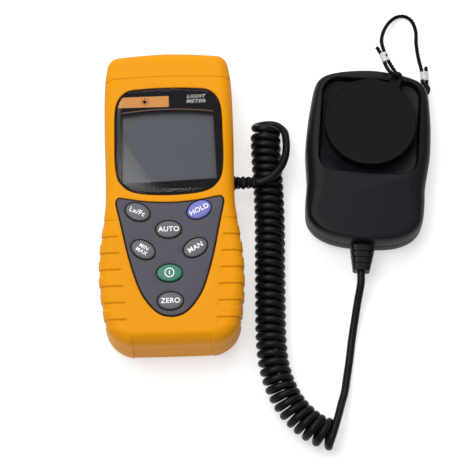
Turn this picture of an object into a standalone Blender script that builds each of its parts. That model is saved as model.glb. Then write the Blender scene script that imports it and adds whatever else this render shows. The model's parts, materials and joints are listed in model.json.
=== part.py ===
"""Handheld light meter with a separate sensor head on a curly lead.

The meter lies on its back with its display end towards +Y. The sensor head lies to its right on a
bed of the same height, joined to it by a lead that is curled for most of its length. Metres, +Z up.
The origin is the middle of the meter's flat back.
"""

import math

import bmesh
import bpy
from mathutils import Matrix, Vector

MM = 0.001
GAP = 0.3

# Meter case. Heights are above the flat back.
CASE_TOP = 75.9
CASE_BOTTOM = -75.5
CASE_SPLIT = 17.0
CASE_FRONT = 33.0
CASE_WALL = 2.2
FRONT_WALL = 2.8
CASE_SIDE = [(34.1, -55.5), (35.2, -46.5), (35.5, -36.0), (34.7, -24.0), (33.1, -13.0),
             (31.9, -3.0), (31.8, 12.0), (32.1, 30.0), (32.1, 48.0), (31.7, 60.0), (30.7, 67.7)]
# Corners in plan: centre x, centre y, and the radius along x and along y.
CORNER_TOP = (23.9, 67.7, 6.7, 6.7)
CORNER_BOTTOM = (17.0, -60.0, 16.2, 15.4)

# Grooves of the grip on both sides: the first one's middle is given at the front face, and each
# leans by RIB_SLANT for each mm of height.
RIB_COUNT = 7
RIB_PITCH = 8.33
RIB_FIRST_Y = -15.0
RIB_SLANT = 0.2
RIB_INNER_X = 27.0
GROOVE_HALF = 1.9
GROOVE_DEPTH = 0.8

# Display.
LENS_RIGHT = [(20.9, 53.4), (25.9, 46.0), (26.7, 30.0), (26.4, 13.0), (23.6, 4.8), (16.2, 0.2)]
LENS_TOP_Y = 55.3
LENS_BOTTOM_Y = -1.2
LENS_POCKET_FLOOR = 31.3
LENS_TOP_Z = 33.9
WINDOW = (0.3, 24.0, 45.8, 34.4)

# Keypad panel and keys: centre x, centre y, turn in degrees.
PANEL_RIGHT = [(23.6, -2.0), (25.5, -2.3), (26.5, -4.0), (26.2, -7.0), (24.1, -16.5), (20.8, -32.0),
               (16.5, -46.5), (12.4, -54.6), (6.6, -60.8)]
PANEL_TOP_Y = -4.7
PANEL_BOTTOM_Y = -62.7
PANEL_POCKET_FLOOR = 31.8
PANEL_TOP_Z = 33.4
KEY_HALF = (6.1, 4.3)
KEY_BOTTOM_Z = 29.1
KEY_FLANGE_TOP_Z = 29.8
KEY_TOP_Z = 34.5
KEYS = {
    "key_unit": (-15.7, -9.7, -24.0),
    "key_hold": (14.2, -9.3, 26.0),
    "key_auto": (-0.8, -19.0, 0.0),
    "key_min_max": (-13.3, -28.9, -32.0),
    "key_manual": (11.9, -28.6, 29.0),
    "key_power": (-0.8, -41.0, 0.0),
    "key_zero": (-0.6, -54.9, 0.0),
}

# Back of the meter. The door is given by its width, lower end, upper end and thickness.
DOOR = (29.4, -73.4, -24.6, 2.0)
CASE_SCREWS = [(-25.0, 62.0), (25.0, 62.0), (-23.0, -62.0), (23.0, -62.0)]

# Sensor head, in its own frame: u across, v along from the lead end.
HEAD_PLACE = (94.5, -23.2)
HEAD_TURN = -5.9
HEAD_SIDE = [(0.0, 0.3), (13.4, 1.4), (21.4, 4.1), (26.2, 7.9), (28.9, 13.0), (29.6, 22.0), (29.5, 31.0),
             (30.4, 39.5), (31.3, 49.0), (31.1, 62.0), (30.2, 72.5), (29.1, 80.5), (27.1, 85.4), (22.4, 88.4),
             (13.0, 90.6), (0.0, 91.8)]
HEAD_SPLIT = 10.0
HEAD_FRONT = 20.5
HEAD_WALL = 2.0
# Centre, width, length and corner radius.
RECESS = (0.0, 60.8, 49.6, 50.0, 8.5)
RECESS_FLOOR = 16.5
SENSOR_V = 61.2
CAP_RADIUS = 22.8
CAP_BASE_Z = 16.9
CAP_TOP_Z = 24.9
CAP_LUG = (11.9, 86.2)
CAP_LUG_TURN = -14.0
CAP_LUG_LEVELS = (22.5, 24.7)
CORD_HOLE_RADIUS = 1.4
HEAD_SCREWS = [(-21.0, 10.0), (21.0, 10.0), (-22.6, 79.0), (22.6, 79.0)]
EYELET = (27.2, 87.2)

# Lead: wire, and the outside of its curled length. GLAND is where its relief's middle is, as y and z.
WIRE = 3.9
CURL_OUTSIDE = 15.4
GLAND = (9.7, 17.0)
GLAND_BORE_RADIUS = 3.95
LEAD_OVER_CURL = [(43.4, 9.7, 17.0), (46.0, 10.0, 17.6), (49.6, 11.5, 18.0), (53.2, 14.6, 17.7),
                  (56.1, 19.4, 15.2), (58.0, 25.2, 12.4), (58.8, 31.0, 10.2), (58.8, 35.6, 8.4),
                  (58.2, 40.4, 6.2), (54.8, 44.5, 4.2), (50.4, 45.8, 3.2), (46.0, 44.7, 4.6)]
# Middle of the curl. Its solid stops at the last point but one, short of the turn that the lead rises from.
CURL_LINE = [(48.5, 39.8, 7.75), (48.5, 26.0, 7.75), (49.0, 8.0, 7.75), (49.0, -10.0, 7.75),
             (48.5, -26.0, 7.75), (47.9, -48.0, 7.75), (47.5, -66.0, 7.75), (48.1, -79.0, 7.75),
             (50.1, -88.8, 7.75), (53.0, -96.7, 7.75), (57.0, -103.6, 7.75), (61.5, -108.8, 7.75),
             (66.2, -112.9, 7.75), (71.2, -115.6, 7.75), (75.0, -116.8, 7.75)]
LEAD_TO_HEAD = [(73.4, -120.4, 10.4), (74.9, -117.2, 11.8), (76.5, -112.9, 11.4), (78.2, -108.7, 9.6),
                (80.6, -100.9, 6.5), (82.4, -95.3, 4.6), (83.9, -88.0, 3.1), (85.7, -78.8, 2.2),
                (87.5, -68.0, 2.2), (90.8, -51.0, 6.2), (92.7, -42.4, 9.5), (93.1, -36.8, 10.0)]

# Cap keeper cord and its two crimps: centre, and heading of the long side in degrees.
# CRIMP is length, width and height.
KEEPER = 2.0
CRIMP = (4.8, 4.2, 3.0)
CRIMP_RUN = 1.05
CRIMP_CLEAR = 1.0
CRIMP_CAP = ((109.9, 73.3, 22.0), 109.0)
CRIMP_HEAD = ((131.7, 69.6, 4.4), 90.0)
KEEPER_ARC = [(109.5, 83.6, 16.6), (110.3, 89.0, 12.2), (112.5, 95.4, 8.2), (115.9, 101.2, 4.0),
              (119.8, 104.7, 1.7), (124.0, 105.1, 1.2), (127.5, 102.3, 1.2), (129.2, 96.6, 1.2),
              (129.0, 89.0, 1.4), (129.5, 80.6, 2.6)]
KEEPER_CAP_LOOP = [(110.4, 67.2, 24.0), (111.6, 63.8, 26.1), (113.4, 61.8, 26.8), (114.9, 61.3, 26.2),
                   (115.2, 61.2, 24.3), (115.3, 61.4, 22.5), (115.6, 62.5, 21.45), (115.4, 64.4, 21.4),
                   (113.9, 67.2, 21.5)]
KEEPER_HEAD_LOOP = [(130.0, 65.6, 7.8), (129.9, 64.0, 10.3), (130.3, 62.0, 11.1), (130.5, 60.8, 9.1),
                    (130.6, 60.7, 6.4), (131.3, 61.8, 4.4), (132.4, 63.8, 3.0)]
KEEPER_CAP_TAIL = (106.4, 78.9, 21.8)
KEEPER_HEAD_TAIL = (132.9, 74.8, 4.2)


# ---------------------------------------------------------------- tools

def clear_scene():
    for obj in list(bpy.data.objects):
        bpy.data.objects.remove(obj)


def material(name, colour, roughness, metallic=0.0, alpha=1.0):
    made = bpy.data.materials.new(name)
    made.use_nodes = True
    shader = made.node_tree.nodes["Principled BSDF"]
    shader.inputs["Base Color"].default_value = (*colour, 1.0)
    shader.inputs["Roughness"].default_value = roughness
    shader.inputs["Metallic"].default_value = metallic
    shader.inputs["Alpha"].default_value = alpha
    return made


def add_object(name, bm, finish, parent=None):
    """The bmesh, drawn in millimetres, as an object in metres."""
    bmesh.ops.recalc_face_normals(bm, faces=bm.faces)
    bmesh.ops.scale(bm, vec=(MM, MM, MM), verts=bm.verts)
    mesh = bpy.data.meshes.new(name)
    bm.to_mesh(mesh)
    bm.free()
    mesh.shade_smooth()
    mesh.set_sharp_from_angle(angle=math.radians(30))
    mesh.materials.append(finish)
    obj = bpy.data.objects.new(name, mesh)
    bpy.context.scene.collection.objects.link(obj)
    obj.parent = parent
    return obj


def place(obj, x, y, z=0.0, turn=0.0):
    obj.location = Vector((x, y, z)) * MM
    obj.rotation_euler.z = math.radians(turn)
    return obj


def combine(target, bm, operation):
    """Cuts or joins a closed bmesh, drawn in the target's own frame."""
    tool = add_object(target.name + "_tool", bm, target.data.materials[0], target.parent)
    tool.location = target.location
    tool.rotation_euler = target.rotation_euler
    tool.hide_render = True
    tool.display_type = "WIRE"
    modifier = target.modifiers.new(operation.lower(), "BOOLEAN")
    modifier.operation = operation
    modifier.object = tool


def cut(target, bm):
    combine(target, bm, "DIFFERENCE")


def join(target, bm):
    combine(target, bm, "UNION")


def curve_through(points, steps, closed=False):
    """Catmull-Rom curve: steps points for each span, and the last point of an open curve."""
    found = []
    count = len(points)
    spans = count if closed else count - 1
    for i in range(spans):
        around = []
        for k in (-1, 0, 1, 2):
            j = i + k
            around.append(Vector(points[j % count if closed else min(max(j, 0), count - 1)]))
        before, start, end, after = around
        for step in range(steps):
            t = step / steps
            second = 2 * before - 5 * start + 4 * end - after
            third = 3 * start - before - 3 * end + after
            found.append(0.5 * (2 * start + (end - before) * t + second * t * t + third * t ** 3))
    if not closed:
        found.append(Vector(points[-1]))
    return found


def arc(centre_x, centre_y, radius_x, radius_y, start, end, steps):
    """Points round a centre, from start to end in degrees."""
    angles = [math.radians(start + (end - start) * k / steps) for k in range(steps + 1)]
    return [(centre_x + radius_x * math.cos(a), centre_y + radius_y * math.sin(a)) for a in angles]


def mirrored(right):
    """A closed outline, anticlockwise, from its right half listed bottom to top."""
    left = [(-x, y) for x, y in reversed(right) if x > 0.01]
    return [Vector(p) for p in [*right, *left]]


def inset(outline, distance):
    """Each point of a smooth anticlockwise outline, moved inwards by the distance."""
    moved = []
    count = len(outline)
    for i, point in enumerate(outline):
        along = (outline[(i + 1) % count] - outline[i - 1]).normalized()
        moved.append(point + Vector((-along.y, along.x)) * distance)
    return moved


def stack(rings):
    """A closed bmesh through rings of 3-D points, capped at both ends."""
    bm = bmesh.new()
    rows = [[bm.verts.new(p) for p in ring] for ring in rings]
    for low, high in zip(rows, rows[1:]):
        for i in range(len(low)):
            j = (i + 1) % len(low)
            bm.faces.new((low[i], low[j], high[j], high[i]))
    bm.faces.new(list(reversed(rows[0])))
    bm.faces.new(rows[-1])
    return bm


def slab(outline, levels, shape=None):
    """A plate of the outline: levels are (height, inset), and shape may move each point."""
    rings = []
    for height, distance in levels:
        ring = [Vector((p.x, p.y, height)) for p in inset(outline, distance)]
        rings.append([shape(p) for p in ring] if shape else ring)
    return stack(rings)


def box(x, y, z, width, length, height):
    """A box by its centre in plan, its base height and its sides."""
    bm = bmesh.new()
    size = Matrix.Diagonal((width, length, height, 1.0))
    bmesh.ops.create_cube(bm, size=1.0, matrix=Matrix.Translation((x, y, z + height / 2)) @ size)
    return bm


def round_box(x, y, width, length, radius, levels, steps=3):
    """A plate with round corners."""
    right, up = width / 2 - radius, length / 2 - radius
    corners = [(right, -up, -90), (right, up, 0), (-right, up, 90), (-right, -up, 180)]
    outline = []
    for cx, cy, start in corners:
        outline += [Vector(p) for p in arc(x + cx, y + cy, radius, radius, start, start + 90, steps)]
    return slab(outline, levels)


def turned(profile, steps, place_at=(0.0, 0.0, 0.0), axis="Z"):
    """A solid of revolution: profile is (distance along the axis, radius)."""
    frame = {"Z": Matrix.Identity(3), "X": Matrix(((0, 0, 1), (0, 1, 0), (-1, 0, 0))),
             "-Y": Matrix(((1, 0, 0), (0, 0, -1), (0, 1, 0)))}[axis]
    rings = []
    for along, radius in profile:
        ring = [Vector((p.x, p.y, along)) for p in oval(radius, radius, steps)]
        rings.append([frame @ p + Vector(place_at) for p in ring])
    return stack(rings)


def tube(name, points, width, finish, parent=None, steps=3, sides=2):
    """A round cord along a smooth curve through the points."""
    data = bpy.data.curves.new(name, "CURVE")
    data.dimensions = "3D"
    data.bevel_depth = width / 2 * MM
    data.bevel_resolution = sides
    data.use_fill_caps = True
    line = curve_through(points, steps)
    spline = data.splines.new("POLY")
    spline.points.add(len(line) - 1)
    for point, place_at in zip(spline.points, line):
        point.co = (*(place_at * MM), 1.0)
    data.materials.append(finish)
    obj = bpy.data.objects.new(name, data)
    bpy.context.scene.collection.objects.link(obj)
    if parent:
        obj.parent = parent
        obj.matrix_parent_inverse = parent.matrix_basis.inverted()
    return obj


# ---------------------------------------------------------------- outlines

def case_outline():
    """The meter's plan at its split line, close-spaced along the ribbed sides."""
    right = [(0.0, CASE_BOTTOM)] + arc(*CORNER_BOTTOM, -90, -10, 5)
    right += [(p.x, p.y) for p in curve_through(CASE_SIDE, 4)]
    right += arc(*CORNER_TOP, 12, 90, 3)
    right += [(13.0, CASE_TOP - 0.55), (0.0, CASE_TOP)]
    return mirrored(right)


def case_inner(wall):
    """The hollow's plan: a plain outline inside the ribs."""
    right = [(0.0, CASE_BOTTOM + 0.4)] + arc(*CORNER_BOTTOM, -90, 0, 4)
    right += [(34.0, -52.0), (34.2, -44.0), (33.6, -30.0), (32.2, -14.0), (31.2, 0.0), (31.5, 30.0)]
    right += arc(*CORNER_TOP, 0, 90, 3)
    right += [(0.0, CASE_TOP - 0.2)]
    return inset(mirrored(right), wall)


def ribbed(point):
    """Moves a point of the case's side into the nearest groove of the grip."""
    depth = 0.0
    for k in range(RIB_COUNT):
        middle = RIB_FIRST_Y - RIB_PITCH * k + RIB_SLANT * (CASE_FRONT - point.z)
        away = abs(point.y - middle) / GROOVE_HALF
        if away < 1.0:
            depth = GROOVE_DEPTH * (1.0 - away * away)
    if abs(point.x) < RIB_INNER_X:
        return point
    return Vector((point.x - math.copysign(depth, point.x), point.y, point.z))


def lens_outline(shrink=0.0):
    right = [(0.0, LENS_BOTTOM_Y), *reversed(LENS_RIGHT), (12.0, LENS_TOP_Y - 0.35), (0.0, LENS_TOP_Y)]
    closed = curve_through(mirrored(right), 3, closed=True)
    return inset(closed, shrink)


def panel_outline(shrink=0.0):
    right = [(0.0, PANEL_BOTTOM_Y), *reversed(PANEL_RIGHT), (12.5, PANEL_TOP_Y + 0.8), (0.0, PANEL_TOP_Y)]
    closed = curve_through(mirrored(right), 2, closed=True)
    return inset(closed, shrink)


def oval(half_x, half_y, steps=20):
    angles = [2 * math.pi * k / steps for k in range(steps)]
    return [Vector((half_x * math.cos(a), half_y * math.sin(a))) for a in angles]


def head_outline():
    return curve_through(mirrored(HEAD_SIDE), 2, closed=True)


# ---------------------------------------------------------------- meter

def front_cover(finish):
    """Front half of the case, with pockets for the lens and the keypad panel."""
    levels = [(CASE_SPLIT, 0.0), (24.0, 0.1), (28.0, 0.7), (30.4, 1.8), (32.2, 3.6), (CASE_FRONT, 6.2)]
    cover = add_object("front_cover", slab(case_outline(), levels, ribbed), finish)
    hollow = [(CASE_SPLIT - 1.0, 0.0), (26.0, 0.4), (CASE_FRONT - FRONT_WALL, 3.0)]
    cut(cover, slab(case_inner(CASE_WALL), hollow))
    cut(cover, slab(lens_outline(), [(LENS_POCKET_FLOOR, 0.0), (CASE_FRONT + 1.0, 0.0)]))
    x, y, width, length = WINDOW
    cut(cover, round_box(x, y, width + 1.0, length + 1.0, 2.0, [(28.0, 0.0), (34.0, 0.0)], 2))
    cut(cover, slab(panel_outline(), [(PANEL_POCKET_FLOOR, 0.0), (CASE_FRONT + 1.0, 0.0)]))
    for x, y, turn in KEYS.values():
        cut(cover, turned_plate(KEY_HALF[0] + 0.5, KEY_HALF[1] + 0.5, x, y, turn, 28.0, 34.0))
    for x, y in CASE_SCREWS:
        join(cover, turned([(CASE_SPLIT + 0.3, 2.6), (CASE_FRONT - FRONT_WALL + 0.6, 2.6)], 10, (x, y, 0.0)))
        cut(cover, turned([(CASE_SPLIT - 1.0, 1.5), (26.4, 1.5)], 8, (x, y, 0.0)))
    cut(cover, gland_hole())
    return cover


def turned_plate(half_x, half_y, x, y, turn, low, high, steps=16):
    """An oval plate turned about its own centre."""
    bm = slab(oval(half_x, half_y, steps), [(low, 0.0), (high, 0.0)])
    spin = Matrix.Translation((x, y, 0.0)) @ Matrix.Rotation(math.radians(turn), 4, "Z")
    bmesh.ops.transform(bm, matrix=spin, verts=bm.verts)
    return bm


def gland_hole():
    return turned([(26.0, GLAND_BORE_RADIUS), (40.0, GLAND_BORE_RADIUS)], 12, (0.0, *GLAND), "X")


def rear_cover(finish):
    """Back half of the case: battery opening, door track and screw posts."""
    levels = [(0.0, 4.0), (0.5, 2.6), (1.8, 1.2), (4.0, 0.4), (8.0, 0.1), (CASE_SPLIT - GAP, 0.0)]
    cover = add_object("rear_cover", slab(case_outline(), levels, ribbed), finish)
    cut(cover, slab(case_inner(CASE_WALL), [(3.2, 1.5), (6.0, 0.2), (CASE_SPLIT + 1.0, 0.0)]))
    width, low, high, thick = DOOR
    bed_length = high - low + 8.0 + 2 * GAP
    cut(cover, box(0.0, (low + high) / 2 - 4.0, -1.0, width + 2 * GAP, bed_length, thick + GAP + 1.0))
    cut(cover, box(0.0, -48.0, 1.0, 26.0, 45.0, 4.0))
    for x, y in CASE_SCREWS:
        join(cover, turned([(2.6, 3.6), (CASE_SPLIT - 2 * GAP, 3.6)], 10, (x, y, 0.0)))
        cut(cover, turned([(-1.0, 2.8), (3.4, 2.8)], 10, (x, y, 0.0)))
        cut(cover, turned([(2.0, 1.5), (18.0, 1.5)], 8, (x, y, 0.0)))
    cut(cover, gland_hole())
    return cover


def battery_door(finish):
    width, low, high, thick = DOOR
    levels = [(0.0, 0.3), (0.3, 0.0), (thick, 0.0)]
    plate = round_box(0.0, (low + high) / 2, width, high - low, 1.5, levels, 2)
    door = add_object("battery_door", plate, finish)
    for k in range(3):
        cut(door, box(0.0, -62.0 - 3.0 * k, -1.0, 14.0, 1.2, 1.5))
    return door


def display(lens_finish, mask_finish, lcd_finish, rubber):
    """Clear lens, printed mask under it, liquid crystal panel and its two contact strips."""
    lens = slab(lens_outline(GAP), [(32.3, 0.0), (33.3, 0.0), (33.7, 0.4), (LENS_TOP_Z, 1.2)])
    add_object("display_lens", lens, lens_finish)
    mask = add_object("display_mask", slab(lens_outline(0.6), [(31.6, 0.0), (32.0, 0.0)]), mask_finish)
    x, y, width, length = WINDOW
    cut(mask, round_box(x, y, width, length, 0.8, [(31.0, 0.0), (33.0, 0.0)], 2))
    add_object("lcd_panel", box(x, y, 27.2, width + 5.0, length + 6.0, 2.6), lcd_finish)
    for side, end in (("upper", 1), ("lower", -1)):
        add_object(f"lcd_contact_{side}", box(x, y + end * 17.0, 23.9, 42.0, 2.4, 3.0), rubber)


def keypad(panel_finish, rubber, key_finishes):
    """Panel, seven keys and the rubber sheet under them."""
    panel = slab(panel_outline(GAP), [(PANEL_POCKET_FLOOR + GAP, 0.0), (33.1, 0.0), (PANEL_TOP_Z, 0.3)])
    panel = add_object("keypad_panel", panel, panel_finish)
    for x, y, turn in KEYS.values():
        cut(panel, turned_plate(KEY_HALF[0] + 0.35, KEY_HALF[1] + 0.35, x, y, turn, 31.0, 35.0))
    for name, (x, y, turn) in KEYS.items():
        across, along = KEY_HALF
        rings = []
        for height, grow in ((KEY_BOTTOM_Z, 1.0), (KEY_FLANGE_TOP_Z, 1.0), (KEY_FLANGE_TOP_Z, 0.0),
                             (33.6, 0.0), (34.2, -0.5), (KEY_TOP_Z, -1.8)):
            rings.append([Vector((p.x, p.y, height)) for p in oval(across + grow, along + grow, 16)])
        key = add_object(name, stack(rings), key_finishes.get(name, key_finishes["plain"]))
        place(key, x, y, 0.0, turn)
    sheet = slab(panel_outline(1.2), [(27.2, 0.0), (27.9, 0.0)])
    add_object("keypad_sheet", sheet, rubber)


def meter_inside(board_finish, battery_finish, snap_finish):
    board = round_box(0.0, 0.0, 54.0, 122.0, 2.0, [(22.0, 0.0), (23.6, 0.0)], 2)
    board = add_object("main_board", board, board_finish)
    for x, y in CASE_SCREWS:
        cut(board, box(x * 1.08, y, 20.0, 11.0, 8.0, 6.0))
    battery = round_box(0.0, -48.2, 26.2, 44.0, 2.0, [(3.4, 0.4), (3.8, 0.0), (20.2, 0.0), (20.6, 0.4)], 2)
    add_object("battery_9v", battery, battery_finish)
    for name, x in (("battery_stud_plus", -6.4), ("battery_stud_minus", 6.4)):
        stud = turned([(0.0, 2.6), (1.9, 2.9)], 10)
        forward = Matrix.Translation((x, -25.9, 12.0)) @ Matrix.Rotation(-math.pi / 2, 4, "X")
        bmesh.ops.transform(stud, matrix=forward, verts=stud.verts)
        add_object(name, stud, snap_finish["stud"])
    snap = round_box(0.0, -21.9, 25.0, 3.2, 1.2, [(5.4, 0.0), (18.6, 0.0)], 2)
    add_object("battery_snap", snap, snap_finish["cap"])


def case_screws(finish):
    for k, (x, y) in enumerate(CASE_SCREWS, 1):
        place(add_object(f"case_screw_{k}", screw(3.1, 2.3, 23.0, 1.1), finish), x, y)


def screw(head_base, head_radius, tip, shank):
    """A pan-head screw driven upwards from the back, with a slot across its head."""
    profile = [(head_base - 1.6, head_radius * 0.7), (head_base - 1.2, head_radius), (head_base, head_radius),
               (head_base, shank), (tip - 1.0, shank), (tip, shank * 0.4)]
    return turned(profile, 8)


def meter_gland(finish):
    """Strain relief gripped between the two halves of the case."""
    profile = [(26.8, 4.7), (28.8, 4.7), (28.8, 3.6)]
    for k in range(4):
        bead = 32.4 + 2.6 * k
        profile += [(bead, 2.7), (bead + 0.7, 3.3), (bead + 1.3, 3.45), (bead + 1.9, 3.3)]
    profile += [(42.9, 2.6)]
    add_object("meter_gland", turned(profile, 12, (0.0, *GLAND), "X"), finish)


# ---------------------------------------------------------------- lead

def lead(finish, head):
    tube("lead_meter", LEAD_OVER_CURL, WIRE, finish, steps=3)
    tube("curly_lead", CURL_LINE[:-1], CURL_OUTSIDE, finish, steps=2, sides=4)
    tube("lead_head", LEAD_TO_HEAD, WIRE, finish, head, steps=3)


# ---------------------------------------------------------------- sensor head

def head_covers(finish, head):
    """Front and rear shells of the sensor head."""
    outline = head_outline()
    levels = [(HEAD_SPLIT, 0.0), (14.0, 0.2), (17.6, 1.0), (19.7, 2.3), (HEAD_FRONT, 3.8)]
    front = add_object("head_front", slab(outline, levels), finish, head)
    inner = [(HEAD_SPLIT - 1.0, HEAD_WALL), (12.6, HEAD_WALL + 0.4), (14.5, HEAD_WALL + 1.6)]
    cut(front, slab(outline, inner))
    x, y, width, length, radius = RECESS
    cut(front, round_box(x, y, width, length, radius, [(RECESS_FLOOR, 0.5), (HEAD_FRONT + 1.0, 0.0)], 4))
    cut(front, turned([(9.0, 19.6), (20.0, 19.6)], 32, (0.0, SENSOR_V, 0.0)))
    cut(front, head_relief_hole())
    levels = [(0.0, 3.8), (0.8, 2.4), (2.6, 1.1), (5.4, 0.3), (HEAD_SPLIT - GAP, 0.0)]
    rear = add_object("head_rear", slab(outline, levels), finish, head)
    cut(rear, slab(outline, [(2.4, HEAD_WALL + 1.6), (5.0, HEAD_WALL + 0.4), (HEAD_SPLIT + 1.0, HEAD_WALL)]))
    x, y = EYELET
    join(rear, turned([(6.4, 3.3), (9.0, 3.3)], 12, (x, y, 0.0)))
    cut(rear, turned([(5.0, CORD_HOLE_RADIUS), (10.5, CORD_HOLE_RADIUS)], 12, (x, y, 0.0)))
    cut(rear, head_relief_hole())
    for x, y in HEAD_SCREWS:
        join(rear, turned([(1.6, 3.0), (HEAD_SPLIT - 2 * GAP, 3.0)], 10, (x, y, 0.0)))
        cut(rear, turned([(-1.0, 2.3), (2.9, 2.3)], 10, (x, y, 0.0)))
        cut(rear, turned([(2.0, 1.3), (11.0, 1.3)], 8, (x, y, 0.0)))
        join(front, turned([(HEAD_SPLIT + GAP, 2.4), (15.0, 2.4)], 10, (x, y, 0.0)))
        cut(front, turned([(9.0, 1.3), (13.6, 1.3)], 8, (x, y, 0.0)))


def head_relief_hole():
    """The relief's bore through the end wall, with the wider pocket for its flange."""
    profile = [(-4.9, 5.7), (-2.3, 5.7), (-2.3, 4.4), (4.0, 4.4)]
    return turned(profile, 14, (0.0, 0.0, HEAD_SPLIT), "-Y")


def sensor(head, finishes):
    """Everything that takes in and measures the light."""
    at = (0.0, SENSOR_V, 0.0)
    dome = [(12.8, 20.8), (14.1, 20.8), (14.1, 19.2), (16.6, 19.2), (17.6, 18.6), (18.3, 15.0), (18.6, 9.0)]
    add_object("diffuser", turned(dome, 28, at), finishes["opal"], head)
    ring = turned([(16.8, 21.6), (17.8, 21.6), (18.2, 21.2)], 28, at)
    ring = add_object("diffuser_ring", ring, finishes["black"], head)
    cut(ring, turned([(16.0, 19.6), (19.0, 19.6)], 28, at))
    add_object("light_filter", turned([(10.4, 8.0), (12.0, 8.0)], 16, at), finishes["filter"], head)
    holder = add_object("filter_holder", turned([(6.6, 11.0), (12.4, 11.0)], 16, at), finishes["black"], head)
    cut(holder, turned([(5.0, 6.4), (14.0, 6.4)], 16, at))
    cut(holder, turned([(10.1, 8.3), (14.0, 8.3)], 16, at))
    photodiode = turned([(6.6, 4.6), (7.0, 4.6), (7.0, 4.1), (9.4, 4.1)], 12, at)
    add_object("photodiode", photodiode, finishes["metal"], head)
    board = round_box(0.0, SENSOR_V - 6.0, 38.0, 41.0, 2.0, [(4.7, 0.0), (6.3, 0.0)], 2)
    add_object("sensor_board", board, finishes["board"], head)


def head_screws(finish, head):
    for k, (x, y) in enumerate(HEAD_SCREWS, 1):
        place(add_object(f"head_screw_{k}", screw(2.6, 1.9, 12.6, 0.95), finish, head), x, y)


def head_relief(finish, head):
    """Tapered strain relief at the head's lead end: a flanged neck, then four bands."""
    profile = [(-4.4, 5.3), (-2.6, 5.3), (-2.6, 4.1), (0.5, 4.1), (0.5, 5.9)]
    for k in range(3):
        groove = 3.3 + 3.0 * k
        outer = 5.9 - 0.6 * k
        profile += [(groove, outer - 0.3), (groove + 0.2, outer - 1.1), (groove + 0.9, outer - 1.2),
                    (groove + 1.1, outer - 0.5)]
    profile += [(12.8, 4.0), (13.0, 3.6)]
    add_object("head_relief", turned(profile, 14, (0.0, 0.0, HEAD_SPLIT), "-Y"), finish, head)


def sensor_cap(finish, head):
    """Round push-on cap with the lug that its keeper cord goes through."""
    at = (0.0, SENSOR_V, 0.0)
    shell = [(CAP_BASE_Z, CAP_RADIUS - 0.2), (CAP_TOP_Z - 0.9, CAP_RADIUS), (CAP_TOP_Z - 0.2, CAP_RADIUS - 0.3),
             (CAP_TOP_Z, CAP_RADIUS - 1.0)]
    cap = add_object("sensor_cap", turned(shell, 40, at), finish, head)
    cut(cap, turned([(CAP_BASE_Z - 1.0, 22.0), (CAP_TOP_Z - 1.2, 22.0)], 32, at))
    low, high = CAP_LUG_LEVELS
    strap = box(0.0, -4.2, low, 5.8, 9.0, high - low)
    turn = Matrix.Rotation(math.radians(CAP_LUG_TURN), 4, "Z")
    bmesh.ops.transform(strap, matrix=Matrix.Translation((*CAP_LUG, 0.0)) @ turn, verts=strap.verts)
    join(cap, strap)
    join(cap, turned([(low, 3.0), (high, 3.0)], 12, (*CAP_LUG, 0.0)))
    cut(cap, turned([(low - 1.0, CORD_HOLE_RADIUS), (high + 1.0, CORD_HOLE_RADIUS)], 12, (*CAP_LUG, 0.0)))


def crimp(name, centre, heading, finish, parent):
    """Clear plastic sleeve that grips two runs of the keeper cord."""
    length, width, height = CRIMP
    bm = round_box(0.0, 0.0, width, height, 1.1, [(-length / 2, 0.0), (length / 2, 0.0)], 2)
    upright = Matrix.Rotation(math.radians(-90), 4, "X")
    turn = Matrix.Rotation(math.radians(heading - 90), 4, "Z")
    bmesh.ops.transform(bm, matrix=Matrix.Translation(centre) @ turn @ upright, verts=bm.verts)
    obj = add_object(name, bm, finish)
    obj.parent = parent
    obj.matrix_parent_inverse = parent.matrix_basis.inverted()


def crimp_mouths(centre, heading):
    """Where the cord's two runs leave a crimp: the pair at its far end, then the pair at its near end."""
    along = Vector((math.cos(math.radians(heading)), math.sin(math.radians(heading)), 0.0))
    across = Vector((along.y, -along.x, 0.0)) * CRIMP_RUN
    reach = along * (CRIMP[0] / 2 + CRIMP_CLEAR)
    middle = Vector(centre)
    return middle + reach - across, middle + reach + across, middle - reach - across, middle - reach + across


def keeper(finish, clear, head):
    """Thin cord that ties the cap to the head, crimped into a loop at each end."""
    cap_tail, cap_out, cap_loop, cap_back = crimp_mouths(*CRIMP_CAP)
    head_in, head_tail, head_loop, head_back = crimp_mouths(*CRIMP_HEAD)
    tube("keeper_cord", [cap_out, *KEEPER_ARC, head_in], KEEPER, finish, head, steps=3)
    tube("keeper_cap_loop", [cap_loop, *KEEPER_CAP_LOOP, cap_back], KEEPER, finish, head, steps=3)
    tube("keeper_head_loop", [head_loop, *KEEPER_HEAD_LOOP, head_back], KEEPER, finish, head, steps=3)
    tube("keeper_cap_tail", [cap_tail, KEEPER_CAP_TAIL], KEEPER, finish, head, steps=2)
    tube("keeper_head_tail", [head_tail, KEEPER_HEAD_TAIL], KEEPER, finish, head, steps=2)
    crimp("crimp_cap", *CRIMP_CAP, clear, head)
    crimp("crimp_head", *CRIMP_HEAD, clear, head)


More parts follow.
